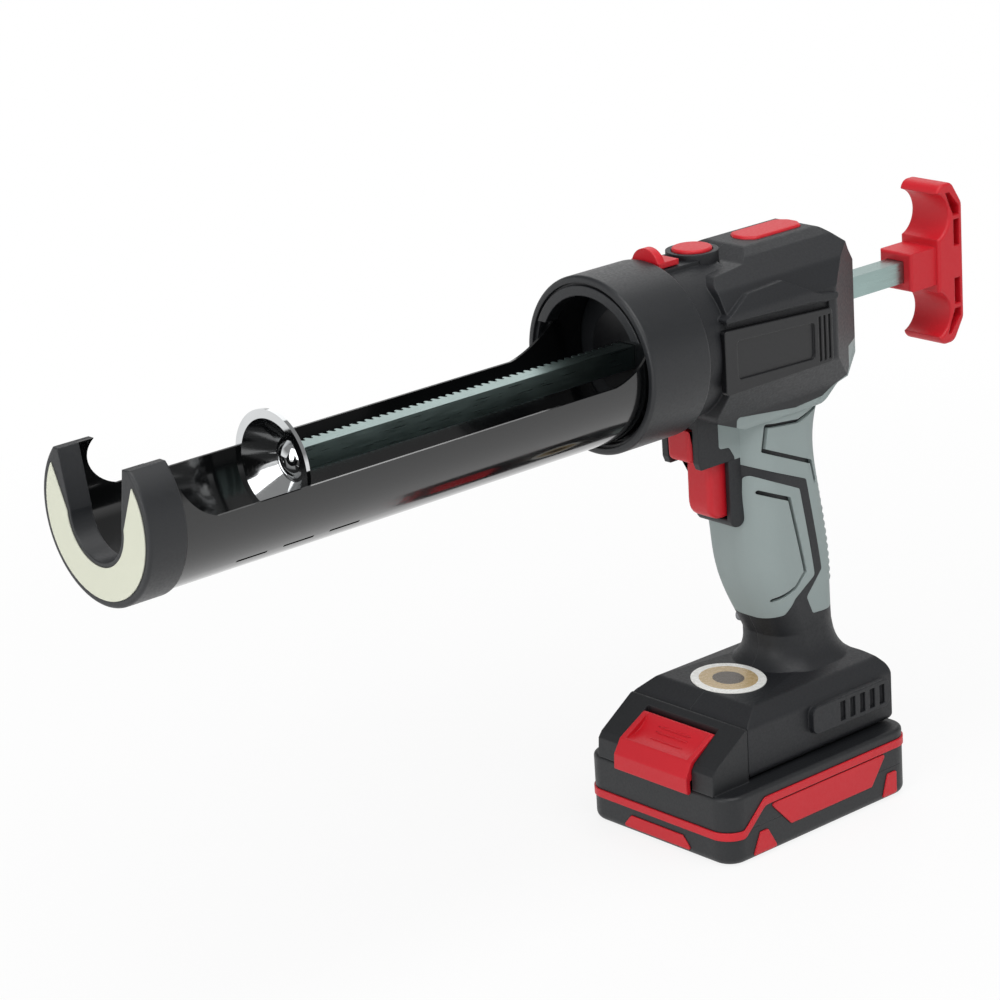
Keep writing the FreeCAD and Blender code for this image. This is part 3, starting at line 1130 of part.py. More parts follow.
def drive_holes():
    """Seats of the motor, the gearbox, the shafts and the rod guides."""
    motor_top = MOTOR_BASE_Z + MOTOR_HEIGHT
    return [post(MOTOR_R + FIT_GAP, MOTOR_X, 0, MOTOR_BASE_Z - MOTOR_STUB - FIT_GAP, motor_top),
            post(GEARBOX_R + FIT_GAP, MOTOR_X, 0, motor_top, GEARBOX_TOP_Z + FIT_GAP),
            post(OUTPUT_SHAFT_R + RUN_GAP, MOTOR_X, 0, GEARBOX_TOP_Z, CAVITY_FLOOR_Z + OVERRUN),
            post(BUSH_R + FIT_GAP, PINION_X, PINION_Y, CAVITY_FLOOR_Z - BUSH_LENGTH, CAVITY_FLOOR_Z + OVERRUN),
            post(PINION_SHAFT_R + PIN_GAP, PINION_X, PINION_Y, GEAR_RIB_Z - OVERRUN, BRIDGE_Z),
            axle(NOSE_HOLE_R, CAVITY_FRONT_X - 2 * CAVITY_WALL, BODY_FRONT_X + OVERRUN),
            square_hole(BODY_REAR_X - OVERRUN, CAVITY_REAR_X + OVERRUN, GUIDE_REAR_SIDE / 2)]


def control_holes():
    """Seats of the switch, trigger, board, catch, inlay, plaques and screws."""
    duct = post(DUCT_R, BOARD_X + BOARD_LENGTH / 2, 0, HEAD_TOP_Z, MOTOR_BASE_Z)
    peg_slot = wide_block(peg_rear_x() - CATCH_SPRING_LENGTH, CATCH_FRONT_X - PEG_SETBACK + RUN_GAP,
                          PEG_WIDTH / 2 + RUN_GAP, CATCH_BASE_Z - PEG_DEPTH - RUN_GAP, CATCH_BASE_Z + OVERRUN)
    face = BODY_HALF_WIDTH + PLAQUE_PROUD
    recess = plaque_blank(face - PLAQUE_THICK, face + RIDGE_PROUD, FIT_GAP)
    rear = PLAQUE_FRONT_X - PLAQUE_LENGTH
    spots = scaled(PLAQUE_GAP_SHARES, rear, PLAQUE_LENGTH, PLAQUE_BASE_Z, PLAQUE_HEIGHT)
    shadow = side_prism(spots, 0, face - PLAQUE_THICK, face + RIDGE_PROUD)
    holes = [trigger_slot(), duct, peg_slot, switch_body(FIT_GAP), control_board(FIT_GAP)]
    holes += [recess, flipped(recess), shadow, flipped(shadow), inlay_blank(FIT_GAP, OVERRUN)]
    return holes + [housing_screw(spot, FIT_GAP, BODY_HALF_WIDTH) for spot in SCREW_SPOT_SHARES]


def housing(outer, skins):
    """Whole housing before it is parted down the middle."""
    bed = wide_block(BED_REAR_X, BODY_FRONT_X, BED_WIDTH / 2, CATCH_BASE_Z - BED_DEPTH, CATCH_BASE_Z - RUN_GAP)
    shoulder = axle(SHOULDER_R, BODY_FRONT_X - SHOULDER_LENGTH, BODY_FRONT_X)
    bar = ridge()
    shell = outer.fuse([foot(), bed, shoulder, bar, flipped(bar)])
    shell = shell.cut(skins).cut(head_cavity()).fuse(inner_ribs())
    return shell.cut(release_holes() + drive_holes() + control_holes() + [foot_channel()])


def half_of(shell, sign):
    """Left or right half of the housing."""
    y0, y1 = (0, BIG) if sign > 0 else (-BIG, 0)
    return shell.common(block(-BIG, BIG, y0, y1, -BIG, BIG))


def pack_blank(grow, z0, z1):
    """Slab of the pack's plan, grown or drawn in all round."""
    a = PACK_HALF_LENGTH + grow
    b = PACK_HALF_WIDTH + grow
    return plan_prism([(-a, -b), (a, -b), (a, b), (-a, b)], PACK_CORNER_R + grow, z0, z1)


def pack_form(grow):
    """Whole outside of the pack with its lower edge rounded."""
    form = pack_blank(grow, 0, PACK_HEIGHT)
    return round_edges(form, PACK_BASE_EDGE, lambda e: e.BoundBox.ZMax < PACK_EDGE)


def pack_cavity():
    a = PACK_HALF_LENGTH - PACK_WALL
    b = PACK_HALF_WIDTH - PACK_WALL
    return plan_prism([(-a, -b), (a, -b), (a, b), (-a, b)], CAVITY_CORNER_R, PACK_FLOOR, CAVITY_TOP_Z)


def pack_belt(grow=0):
    """Thin band round the pack that dips at the front."""
    low, high = [share * PACK_HEIGHT for share in BELT_LEVEL_SHARES]
    spots = scaled(BELT_SHARES, 0, PACK_HALF_LENGTH, low, high - low)
    half = BELT_HEIGHT / 2 + grow
    strip = [(x, z + half) for x, z in spots] + [(x, z - half) for x, z in reversed(spots)]
    wave = side_prism(strip, BELT_HEIGHT, -2 * PACK_HALF_WIDTH, 2 * PACK_HALF_WIDTH)
    ring = pack_blank(BELT_PROUD, 0, PACK_HEIGHT).cut(pack_blank(-BELT_SINK - grow, 0, PACK_HEIGHT))
    return ring.common(wave)


def side_plate(shares, grow=0):
    """Plate let into the left side of the pack."""
    spots = scaled(shares, 0, PACK_HALF_LENGTH, 0, PACK_HEIGHT)
    face = PACK_HALF_WIDTH + PANEL_PROUD
    plate = side_prism(spots, PANEL_ROUND, PACK_HALF_WIDTH - PANEL_SINK - grow, face, -grow)
    return plate.common(pack_form(PANEL_PROUD))


def front_plate(grow=0):
    """Plate let into the front of the pack."""
    spots = scaled(ACCENT_NOSE_SHARES, 0, PACK_HALF_WIDTH, 0, PACK_HEIGHT)
    face = PACK_HALF_LENGTH + PANEL_PROUD
    plate = front_prism(spots, PANEL_ROUND, PACK_HALF_LENGTH - PANEL_SINK - grow, face, -grow)
    return plate.common(pack_form(PANEL_PROUD))


def pack_recesses():
    """Everything that the belt, panels and inserts take out of the case."""
    cuts = [pack_belt(FIT_GAP), front_plate(FIT_GAP)]
    for shares in (PANEL_SHARES, ACCENT_FRONT_SHARES, ACCENT_REAR_SHARES):
        plate = side_plate(shares, FIT_GAP)
        cuts += [plate, flipped(plate)]
    return cuts


def pack_lower():
    below = wide_block(-2 * PACK_HALF_LENGTH, 2 * PACK_HALF_LENGTH, 2 * PACK_HALF_WIDTH, 0, PACK_SPLIT_Z)
    return pack_form(0).common(below).cut([pack_cavity()] + pack_recesses())


def pack_nose():
    """Sloping front block that closes the foot."""
    spots = scaled(NOSE_SHARES, PACK_NOSE_X, NOSE_LENGTH, PACK_HEIGHT, NOSE_HEIGHT)
    section = [(FOOT_HALF_WIDTH, PACK_HEIGHT)]
    section += scaled(FOOT_FRONT_SHARES[1:], 0, FOOT_HALF_WIDTH, FOOT_BASE_Z, FOOT_HEIGHT)
    nose = side_prism(spots, 0, -FOOT_HALF_WIDTH, FOOT_HALF_WIDTH)
    nose = nose.common(front_prism(mirrored(section), 0, PACK_NOSE_X, 2 * PACK_HALF_LENGTH))
    return nose.cut(pack_button_taper(RUN_GAP, PACK_HEIGHT))


def pack_button_spots():
    return scaled(PACK_BUTTON_SHARES, PACK_NOSE_X, NOSE_LENGTH, PACK_HEIGHT, NOSE_HEIGHT)


def pack_button_taper(grow, floor):
    """Room of the pack button, narrower towards its top."""
    spots = pack_button_spots()
    low = spots[0][1]
    high = spots[4][1]
    sides = [(PACK_BUTTON_HALF_WIDTH + grow, low), (PACK_BUTTON_TOP_HALF_WIDTH + grow, high)]
    sides += [(PACK_BUTTON_TOP_HALF_WIDTH + grow, high + NOSE_HEIGHT)]
    room = front_prism(mirrored(sides), 0, spots[5][0] - grow, 2 * PACK_HALF_LENGTH)
    return room.common(wide_block(0, 2 * PACK_HALF_LENGTH, PACK_HALF_WIDTH, floor, floor + 2 * NOSE_HEIGHT))


def pack_button():
    spots = pack_button_spots()
    cap = side_prism(spots, PACK_BUTTON_ROUND, -PACK_BUTTON_HALF_WIDTH, PACK_BUTTON_HALF_WIDTH)
    cap = cap.common(pack_button_taper(0, spots[0][1]))
    (xa, za), (xb, zb) = spots[3:5]
    run = math.hypot(xb - xa, zb - za)
    lift = SCOOP_R - SCOOP_DEPTH
    half = PACK_BUTTON_TOP_HALF_WIDTH - SCOOP_DEPTH
    centre = V((xa + xb) / 2 + (zb - za) / run * lift, -half, (za + zb) / 2 + (xa - xb) / run * lift)
    return cap.cut(Part.makeCylinder(SCOOP_R, 2 * half, centre, Y_DIR))


def pack_button_spring():
    x = PACK_NOSE_X + PACK_SPRING_SHARE * NOSE_LENGTH
    top = pack_button_spots()[6][1]
    coil = post(PACK_SPRING_R, x, 0, PACK_HEIGHT, top)
    return coil.cut(post(PACK_SPRING_R - PACK_SPRING_WALL, x, 0, PACK_HEIGHT - OVERRUN, top + OVERRUN))


def pack_upper():
    case = pack_blank(0, PACK_SPLIT_Z, PACK_HEIGHT)
    case = round_edges(case, PACK_EDGE, lambda e: e.BoundBox.ZMin > PACK_HEIGHT - PACK_EDGE)
    stem = wide_block(RAIL_REAR_X, PACK_NOSE_X, STEM_HALF_WIDTH, PACK_HEIGHT, STEM_TOP_Z)
    head = wide_block(RAIL_REAR_X, PACK_NOSE_X, HEAD_HALF_WIDTH, STEM_TOP_Z, HEAD_TOP_Z)
    case = case.fuse([stem, head, pack_nose()])
    blade = contact_blade().BoundBox
    slot = block(RAIL_REAR_X - OVERRUN, blade.XMax + RUN_GAP, BLADE_Y - BLADE_SLOT / 2, BLADE_Y + BLADE_SLOT / 2,
                 blade.ZMin - RUN_GAP, HEAD_TOP_Z + OVERRUN)
    return case.cut([pack_cavity(), slot, flipped(slot)] + pack_recesses())


def pack_cells():
    """Row of round cells welded together by strips at both ends."""
    z = PACK_FLOOR + FIT_GAP + CELL_R
    half = CELL_LENGTH / 2
    span = CELL_PITCH * (CELL_COUNT - 1) / 2
    cells = [Part.makeCylinder(CELL_R, CELL_LENGTH, V(i * CELL_PITCH - span, -half, z), Y_DIR)
             for i in range(CELL_COUNT)]
    strip = block(-span, span, half, half + STRIP_THICK, z - STRIP_HEIGHT / 2, z + STRIP_HEIGHT / 2)
    return cells[0].fuse(cells[1:] + [strip, flipped(strip)])


def cell_carrier():
    a = PACK_HALF_LENGTH - PACK_WALL - FIT_GAP
    b = PACK_HALF_WIDTH - PACK_WALL - FIT_GAP
    return plan_prism([(-a, -b), (a, -b), (a, b), (-a, b)], CAVITY_CORNER_R, CELL_TOP_Z, CAVITY_TOP_Z - FIT_GAP)


def pieces():
    """Every piece of the tool under its own name."""
    outer = grip_core(0)
    core = grip_core(SKIN_THICK)
    front_skin = skin_blank(SKIN_FRONT_SHARES, outer, core)
    back_skin = skin_blank(SKIN_BACK_SHARES, outer, core)
    shell = housing(outer, [front_skin, back_skin])
    parts = {
        "barrel_tube": barrel_tube(), "barrel_collar": barrel_collar(), "front_cap": front_cap(),
        "front_pad": front_pad(), "push_rod": push_rod(), "plunger_disc": plunger_disc(),
        "plunger_screw": plunger_screw(), "pull_handle": pull_handle(), "handle_pin": handle_pin(),
        "housing_left": half_of(shell, 1), "housing_right": half_of(shell, -1),
        "grip_skin_front": grooved(front_skin, GROOVE_FRONT_SHARES),
        "grip_skin_back": grooved(back_skin, GROOVE_BACK_SHARES),
        "plaque_left": plaque(), "plaque_right": flipped(plaque()), "top_inlay": top_inlay(),
        "button_boss": button_boss(), "nose_ring": nose_ring(), "front_guide": front_guide(),
        "rear_guide": rear_guide(), "gearbox_case": gearbox_case(), "motor_can": motor_can(),
        "switch_body": switch_body(), "control_board": control_board(), "contact_block": contact_block(),
        "contact_blade_left": contact_blade(), "contact_blade_right": flipped(contact_blade()),
        "oval_label": oval_label(), "pinion_bush": pinion_bush(), "drive_pinion": drive_pinion(),
        "driven_gear": driven_gear(), "output_gear": output_gear(), "trigger": trigger(),
        "trigger_spring": trigger_spring(), "release_button": release_button(),
        "release_bridge": release_bridge(), "clutch_pin": clutch_pin(), "release_spring": release_spring(),
        "barrel_catch": barrel_catch(), "catch_spring": catch_spring(), "pack_lower": pack_lower(),
        "pack_upper": pack_upper(), "pack_belt": pack_belt(), "pack_panel_left": side_plate(PANEL_SHARES),
        "pack_panel_right": flipped(side_plate(PANEL_SHARES)), "pack_accent_nose": front_plate(),
        "pack_accent_front_left": side_plate(ACCENT_FRONT_SHARES),
        "pack_accent_front_right": flipped(side_plate(ACCENT_FRONT_SHARES)),
        "pack_accent_rear_left": side_plate(ACCENT_REAR_SHARES),
        "pack_accent_rear_right": flipped(side_plate(ACCENT_REAR_SHARES)),
        "pack_cells": pack_cells(), "cell_carrier": cell_carrier(), "pack_button": pack_button(),
        "pack_button_spring": pack_button_spring(),
    }
    for i, spot in enumerate(SCREW_SPOT_SHARES):
        parts["housing_screw_%d" % (i + 1)] = housing_screw(spot)
    return parts


def main():
    os.makedirs("parts", exist_ok=True)
    for name, shape in pieces().items():
        solids = shape.Solids
        body = solids[0] if len(solids) == 1 else shape
        print(name, len(solids), body.isValid(), round(body.Volume, 1))
        body.exportStep("parts/%s.step" % name)


main()
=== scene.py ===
"""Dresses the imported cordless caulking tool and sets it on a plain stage."""

import math

import bmesh
import bpy
from mathutils import Matrix, Vector
from mathutils.bvhtree import BVHTree


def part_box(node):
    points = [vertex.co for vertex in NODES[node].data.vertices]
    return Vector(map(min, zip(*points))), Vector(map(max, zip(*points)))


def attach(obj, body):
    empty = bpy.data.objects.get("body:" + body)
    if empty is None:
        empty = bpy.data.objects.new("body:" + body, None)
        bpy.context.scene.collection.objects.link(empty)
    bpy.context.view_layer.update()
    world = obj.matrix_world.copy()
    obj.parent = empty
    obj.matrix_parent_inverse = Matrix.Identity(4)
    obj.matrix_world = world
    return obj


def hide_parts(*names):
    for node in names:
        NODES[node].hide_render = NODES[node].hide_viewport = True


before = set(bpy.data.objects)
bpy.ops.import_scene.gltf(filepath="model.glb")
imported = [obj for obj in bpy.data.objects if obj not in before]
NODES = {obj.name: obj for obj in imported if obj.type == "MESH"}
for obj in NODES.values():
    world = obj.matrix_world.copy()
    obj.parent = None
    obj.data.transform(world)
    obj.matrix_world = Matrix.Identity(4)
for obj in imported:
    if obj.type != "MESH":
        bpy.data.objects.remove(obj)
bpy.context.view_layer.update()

bl_info = {
    "name": "Cordless caulking tool",
    "version": (1, 0, 0),
    "blender": (4, 5, 0),
    "location": "View3D > Sidebar > Caulking tool",
    "description": "Finishes, small mouldings and stage for a cordless caulking tool",
    "category": "Object",
}

MM = 0.001

# Which nodes share a finish
HOUSING_NODES = ("housing_left", "housing_right", "button_boss", "switch_body", "contact_block")
PACK_NODES = ("pack_lower", "pack_upper", "cell_carrier")
PLAQUE_NODES = ("plaque_left", "plaque_right")
NYLON_NODES = ("barrel_collar", "front_cap", "nose_ring")
SKIN_NODES = ("grip_skin_front", "grip_skin_back")
RED_NODES = ("top_inlay", "pull_handle", "release_button", "barrel_catch", "pack_belt",
             "pack_button", "pack_panel_left", "pack_panel_right", "pack_accent_nose",
             "pack_accent_front_left", "pack_accent_front_right", "pack_accent_rear_left",
             "pack_accent_rear_right")
ZINC_NODES = ("push_rod", "handle_pin", "motor_can", "gearbox_case")
CHROME_NODES = ("plunger_disc", "plunger_screw")
STEEL_NODES = ("drive_pinion", "driven_gear", "output_gear", "clutch_pin", "release_bridge",
               "housing_screw_1", "housing_screw_2", "housing_screw_3", "trigger_spring",
               "release_spring", "catch_spring", "pack_button_spring")
BRASS_NODES = ("pinion_bush", "contact_blade_left", "contact_blade_right")
GUIDE_NODES = ("front_guide", "rear_guide")

# Section of a rib as shares of its width and rise, and how it sinks at its ends
UP = Vector((0.0, 0.0, 1.0))
RIB_SHARES = ((-0.5, -0.4), (-0.32, 0.66), (0.0, 1.0), (0.32, 0.66), (0.5, -0.4))
RIB_SINK_SHARE = 0.4
RIB_END_SHARE = 0.2
RIB_TAPER = 6.0

# Where the ribs lie, in metres
RAY_REACH = 0.1
GRIP_CORE_X = -0.012
GRIP_RIB_HEIGHTS = (0.082, 0.133)
GRIP_RIB_FRONT_X = -0.0285
GRIP_RIB_TURN_DEG = 62.0
GRIP_RIB_SAMPLES = 14
THUMB_RIB_HEIGHTS = (0.0367, 0.0400)
THUMB_RIB_HALF = 0.0085
THUMB_RIB_SAMPLES = 10

# Corners of the trigger from the lower rear corner of its node, with the run of each round, in mm
LEVER_CORNERS_MM = ((0.0, 36.5, 0.6), (0.0, 0.0, 3.0), (11.6, 0.0, 7.5), (11.4, 22.8, 2.4),
                    (20.0, 24.2, 2.2), (20.2, 36.5, 0.6))

# Box of the head's rear corner that has the grip's grey, in metres
SKIN_PATCH = ((-0.053, -0.03, 0.150), (-0.0402, 0.03, 0.1692))

# Steps of the round forms
LEVER_CORNER_STEPS = 8
LEVER_EDGE_STEPS = 5
GUARD_CORNER_STEPS = 6
GUARD_EDGE_STEPS = 2
LABEL_STEPS = 72
LABEL_RIM_SHARES = ((1.0, -0.5), (1.0, 0.2), (0.985, 0.5))

# How moulded surfaces vary: clouds of tone, band of the noise, spread of gloss, painted highlight
# on edges
CLOUD_SIZE = 40 * MM
NOISE_BAND = (0.3, 0.7)
GLOSS_SPREAD = (-0.06, 0.08)
GRIT_STRENGTH = 0.35
# How far the softened normal bends before the painted edge highlight is full, and how much lighter
# it paints
EDGE_HIGHLIGHT_BEND = 0.75
EDGE_HIGHLIGHT_LIGHTER = 2.2
BEVEL_SAMPLES = 6
PLASTIC_IOR = 1.5

# How painted and plated surfaces vary
DUST_SIZE = 18 * MM
DUST_BAND = (0.35, 0.75)
ENAMEL_GLOSS = (0.10, 0.19)
PEEL_STRENGTH = 0.10
PEEL_DEPTH = 0.05 * MM
COAT_WEIGHT = 0.5
COAT_ROUGHNESS = 0.06
PLATE_CLOUD = 14 * MM
PLATE_TONES = (0.86, 1.08)
LINE_STRENGTH = 0.25

# Edges of the label's rings as shares of its size, and its film
LABEL_RING_SHARES = (0.42, 0.78)
MOTTLE_SIZE = 2 * MM
FILM_GLOSS = (0.2, 0.34)

# Stage: paper, where the floor turns white, and lamps by place, target and size, in metres
WHITE = (1.0, 1.0, 1.0, 1.0)
FLOOR_CELLS = 8
FLOOR_BLEACH = (0.15, 0.6)
PAPER_CLOUD = 60 * MM
PAPER_SHADE = 0.98
PAPER_ROUGHNESS = 0.9
PAPER_IOR = 1.45
SWEEP_FADE = 0.25
LAMPS = (("key_light", (0.15, 0.55, 1.35), (0.08, 0.0, 0.10), 1.3),
         ("fill_light", (1.2, 0.15, 0.55), (0.08, 0.0, 0.10), 0.9),
         ("rim_light", (-0.7, -0.6, 0.95), (0.05, 0.0, 0.12), 0.9))

# Camera fitted to the photograph, in a frame of 1000 by 1000 pixels
CAMERA_PLACE = (0.81112, 0.82504, 0.50330)
CAMERA_YAW_DEG = 139.70
CAMERA_PITCH_DEG = 18.20
CAMERA_ROLL_DEG = -3.82
FOCAL_PIXELS = 3389.99
FRAME_PIXELS = 1000
SENSOR_MM = 36.0


def linear(code):
    """Linear colour from an sRGB hex value."""
    values = [int(code[i:i + 2], 16) / 255 for i in (1, 3, 5)]
    return tuple(v / 12.92 if v <= 0.04045 else ((v + 0.055) / 1.055) ** 2.4 for v in values)


def colour(title, words, code):
    """Colour setting that starts from an sRGB hex value."""
    return bpy.props.FloatVectorProperty(name=title, description=words, subtype="COLOR", size=3,
                                         min=0.0, max=1.0, default=linear(code))


def length(title, words, metres):
    """Length setting in metres."""
    return bpy.props.FloatProperty(name=title, description=words, unit="LENGTH", default=metres,
                                   min=0.0, precision=5)


def number(title, words, value, **limits):
    """Plain number setting."""
    return bpy.props.FloatProperty(name=title, description=words, default=value, min=0.0, **limits)


class CaulkFinishSettings(bpy.types.PropertyGroup):
    """Colours and grains of the finishes."""

    housing: colour("Housing", "Charcoal of the moulded housing", "#15171B")
    pack: colour("Pack case", "Charcoal of the battery case", "#15171A")
    plaque: colour("Plaque", "Near black of the side plaques", "#0D0E11")
    nylon: colour("Collar", "Dark grey of the collar and the front cap", "#1B1D20")
    skin: colour("Grip skin", "Cool grey of the soft grip", "#97A3A2")
    red: colour("Red mouldings", "Red of the handle, trigger, buttons and trim", "#CA1323")
    paint: colour("Barrel paint", "Black of the painted tube", "#0D0E0F")
    zinc: colour("Zinc plate", "Cold grey of the plated rod", "#9CB1AE")
    chrome: colour("Chrome", "Bright plate of the push disc", "#D6D8D9")
    steel: colour("Gear steel", "Grey of the gears and pins", "#85878A")
    brass: colour("Brass", "Yellow of the bush and the blades", "#C49A4C")
    board: colour("Board", "Green of the control board", "#1F6B3C")
    sleeve: colour("Cell sleeve", "Blue of the sleeve round the cells", "#2C5C9A")
    pad: colour("Front pad", "Cream of the cap's facing", "#D6D8C6")
    label_rim: colour("Label rim", "White edge of the oval label", "#F3F3EF")
    label_ring: colour("Label ring", "Tan ring of the oval label", "#C0A87E")
    label_centre: colour("Label centre", "Dark middle of the oval label", "#4A4034")
    grain: length("Moulded grain", "Distance between bumps of the moulded grain", 0.9 * MM)
    skin_grain: length("Skin grain", "Distance between bumps of the soft grip", 0.7 * MM)
    peel: length("Paint peel", "Distance between waves of the paint", 3.0 * MM)
    draw: length("Draw lines", "Distance between the draw lines of the rod", 0.5 * MM)
    edge: length("Edge round", "Radius that softens the moulded edges", 0.7 * MM)


class CaulkTrimSettings(bpy.types.PropertyGroup):
    """Sizes of the small mouldings."""

    rib_step: length("Grip rib step", "Distance between the ribs at the back of the grip", 3.0 * MM)
    rib_width: length("Grip rib width", "Width of a grip rib", 1.7 * MM)
    rib_rise: length("Grip rib rise", "Height of a grip rib over the skin", 0.5 * MM)
    thumb_step: length("Thumb rib step", "Distance between the ribs of the pack button", 1.5 * MM)
    thumb_width: length("Thumb rib width", "Width of a thumb rib", 0.9 * MM)
    thumb_rise: length("Thumb rib rise", "Height of a thumb rib over the scoop", 0.3 * MM)
    guard_gap: length("Guard gap", "Room between the trigger and its guard", 0.4 * MM)
    guard_wall: length("Guard wall", "Thickness of the guard's cheeks", 2.7 * MM)
    guard_floor: length("Guard floor", "Thickness of the guard under the trigger", 3.2 * MM)
    guard_front: length("Guard front", "How far the guard covers the trigger", 4.1 * MM)
    guard_root: length("Guard root", "How far the guard reaches into the grip", 2.6 * MM)
    guard_rise: length("Guard rise", "Height of the guard over the trigger's foot", 23.0 * MM)
    guard_edge: length("Guard edge", "Radius of the guard's edges", 0.6 * MM)
    lever_edge: length("Trigger edge", "Radius of the trigger's sides", 2.2 * MM)
    label_half_length: length("Label half length", "Half its size along the tool", 11.9 * MM)
    label_half_width: length("Label half width", "Half its size across the tool", 15.6 * MM)
    label_thick: length("Label thickness", "Thickness of the printed film", 0.4 * MM)


class CaulkStageSettings(bpy.types.PropertyGroup):
    """Floor and lights."""

    floor: colour("Floor", "Pale floor under the tool", "#F2F2F2")
    floor_half: length("Floor half width", "Half the side of the floor", 3.0)
    floor_white: number("Floor white", "Share of plain white seen in the floor", 0.85, max=1.0,
                        subtype="FACTOR")
    key_power: number("Key light", "Power of the large light above", 14.5, unit="POWER")
    fill_power: number("Fill light", "Power of the light beside the camera", 6.0, unit="POWER")
    rim_power: number("Rim light", "Power of the light behind the tool", 3.0, unit="POWER")
    sky: number("Sky", "Strength of the even light all round", 0.30)
    sweep_top: number("Sweep top", "Sine of the height where the sweep fades", 0.08, max=0.7)


def add(tree, kind, inputs=None, **settings):
    """Adds a node, sets its fields, and sets or links its inputs."""
    node = tree.nodes.new(kind)
    for field, value in settings.items():
        setattr(node, field, value)
    for key, value in (inputs or {}).items():
        if isinstance(value, bpy.types.NodeSocket):
            tree.links.new(value, node.inputs[key])
        else:
            node.inputs[key].default_value = value
    return node


def blank_material(name):
    """New material, its empty tree, and the place of a point on the object."""
    material = bpy.data.materials.new(name)
    material.use_nodes = True
    tree = material.node_tree
    tree.nodes.clear()
    place = add(tree, "ShaderNodeTexCoord").outputs["Object"]
    return material, tree, place


def close(material, tree, shader):
    """Ends a material's tree with its shader."""
    add(tree, "ShaderNodeOutputMaterial", {"Surface": shader.outputs[0]})
    return material


def shade(colour_value, factor):
    """Colour made darker or lighter, with full alpha."""
    return tuple(min(1.0, v * factor) for v in colour_value) + (1.0,)


def inside_box(tree, place, low, high):
    """One inside a box and zero outside it."""
    inside = 1.0
    for axis, least, most in zip(add(tree, "ShaderNodeSeparateXYZ", {0: place}).outputs, low, high):
        near = add(tree, "ShaderNodeMath", {0: axis, 1: (least + most) / 2, 2: (most - least) / 2},
                   operation="COMPARE")
        both = add(tree, "ShaderNodeMath", {0: inside, 1: near.outputs[0]}, operation="MULTIPLY")
        inside = both.outputs[0]
    return inside


def moulded(name, tint, grain, edge, *, roughness, depth, spread=0.12, edge_highlight=0.25, patch=None):
    """Moulded plastic: fine grain, a slightly cloudy tone, and soft edges with a little painted
    highlight.
    """
    material, tree, place = blank_material(name)
    grit = add(tree, "ShaderNodeTexNoise", {"Vector": place, "Scale": 1 / grain, "Detail": 3.0})
    cloud = add(tree, "ShaderNodeTexNoise", {
        "Vector": place, "Scale": 1 / CLOUD_SIZE, "Detail": 2.0})
    tone = add(tree, "ShaderNodeMix", {
        "Factor": cloud.outputs["Fac"], 6: shade(tint, 1 - spread), 7: shade(tint, 1 + spread)},
        data_type="RGBA")
    low, high = NOISE_BAND
    smooth, rough = (roughness + shift for shift in GLOSS_SPREAD)
    gloss = add(tree, "ShaderNodeMapRange", {
        "Value": grit.outputs["Fac"], "From Min": low, "From Max": high, "To Min": smooth,
        "To Max": rough})
    soft = add(tree, "ShaderNodeBevel", {"Radius": edge}, samples=BEVEL_SAMPLES).outputs[0]
    face = add(tree, "ShaderNodeNewGeometry").outputs["Normal"]
    bend = add(tree, "ShaderNodeVectorMath", {0: soft, 1: face}, operation="DOT_PRODUCT")
    # Painted highlight: the colour turns lighter towards the edges, where the softened normal bends
    # away from the face.
    edge_highlight_share = add(tree, "ShaderNodeMapRange", {
        "Value": bend.outputs["Value"], "From Min": 1.0, "From Max": EDGE_HIGHLIGHT_BEND, "To Min": 0.0,
        "To Max": edge_highlight})
    edge_highlighted = add(tree, "ShaderNodeMix", {
        "Factor": edge_highlight_share.outputs[0], 6: tone.outputs[2], 7: shade(tint, EDGE_HIGHLIGHT_LIGHTER)},
        data_type="RGBA")
    if patch is not None:
        within = inside_box(tree, place, *SKIN_PATCH)
        edge_highlighted = add(tree, "ShaderNodeMix", {
            "Factor": within, 6: edge_highlighted.outputs[2], 7: shade(patch, 1)}, data_type="RGBA")
    bump = add(tree, "ShaderNodeBump", {
        "Strength": GRIT_STRENGTH, "Distance": depth, "Height": grit.outputs["Fac"],
        "Normal": soft})
    body = add(tree, "ShaderNodeBsdfPrincipled", {
        "Base Color": edge_highlighted.outputs[2], "IOR": PLASTIC_IOR, "Roughness": gloss.outputs[0],
        "Normal": bump.outputs[0]})
    return close(material, tree, body)


def housing_abs(s):
    # Glass-filled ABS off a sparked tool: charcoal and dull, with a broad soft sheen on the facets,
    # and the grip's grey on the rear corner of the head.
    return moulded("charcoal_abs_sparked", s.housing, s.grain, s.edge, roughness=0.52,
                   depth=0.05 * MM, patch=s.skin)


def pack_abs(s):
    # The same ABS on the battery case: charcoal, and a little smoother, so its edges shine more.
    return moulded("charcoal_abs_pack_case", s.pack, s.grain, s.edge, roughness=0.48,
                   depth=0.04 * MM)


def plaque_abs(s):
    # Polished ABS: near black, so the frame of the plaque catches a thin highlight.
    return moulded("black_abs_polished", s.plaque, s.grain, s.edge, roughness=0.34, depth=0.02 * MM)


def collar_nylon(s):
    # Moulded nylon: dark grey, half gloss, with a long highlight round the ring.
    return moulded("dark_nylon_moulded", s.nylon, s.grain, s.edge, roughness=0.42, depth=0.03 * MM)


def grip_tpe(s):
    # Thermoplastic rubber moulded over the grip: cool grey, almost no gloss, dusty to the eye.
    return moulded("grey_tpe_overmould", s.skin, s.skin_grain, 0.6 * s.edge, roughness=0.68,
                   depth=0.05 * MM, spread=0.05, edge_highlight=0.1)


def red_abs(s):
    # Red ABS off a smoother tool: full colour and a soft window of light on each curve.
    return moulded("red_abs_moulded", s.red, s.grain, s.edge, roughness=0.47, depth=0.02 * MM,
                   spread=0.06, edge_highlight=0.1)


def pad_polythene(s):
    # Moulded polythene: cream, waxy and dull, with an even grain.
    return moulded("cream_polythene_moulded", s.pad, s.skin_grain, 0.4 * s.edge, roughness=0.75,
                   depth=0.04 * MM, spread=0.03)


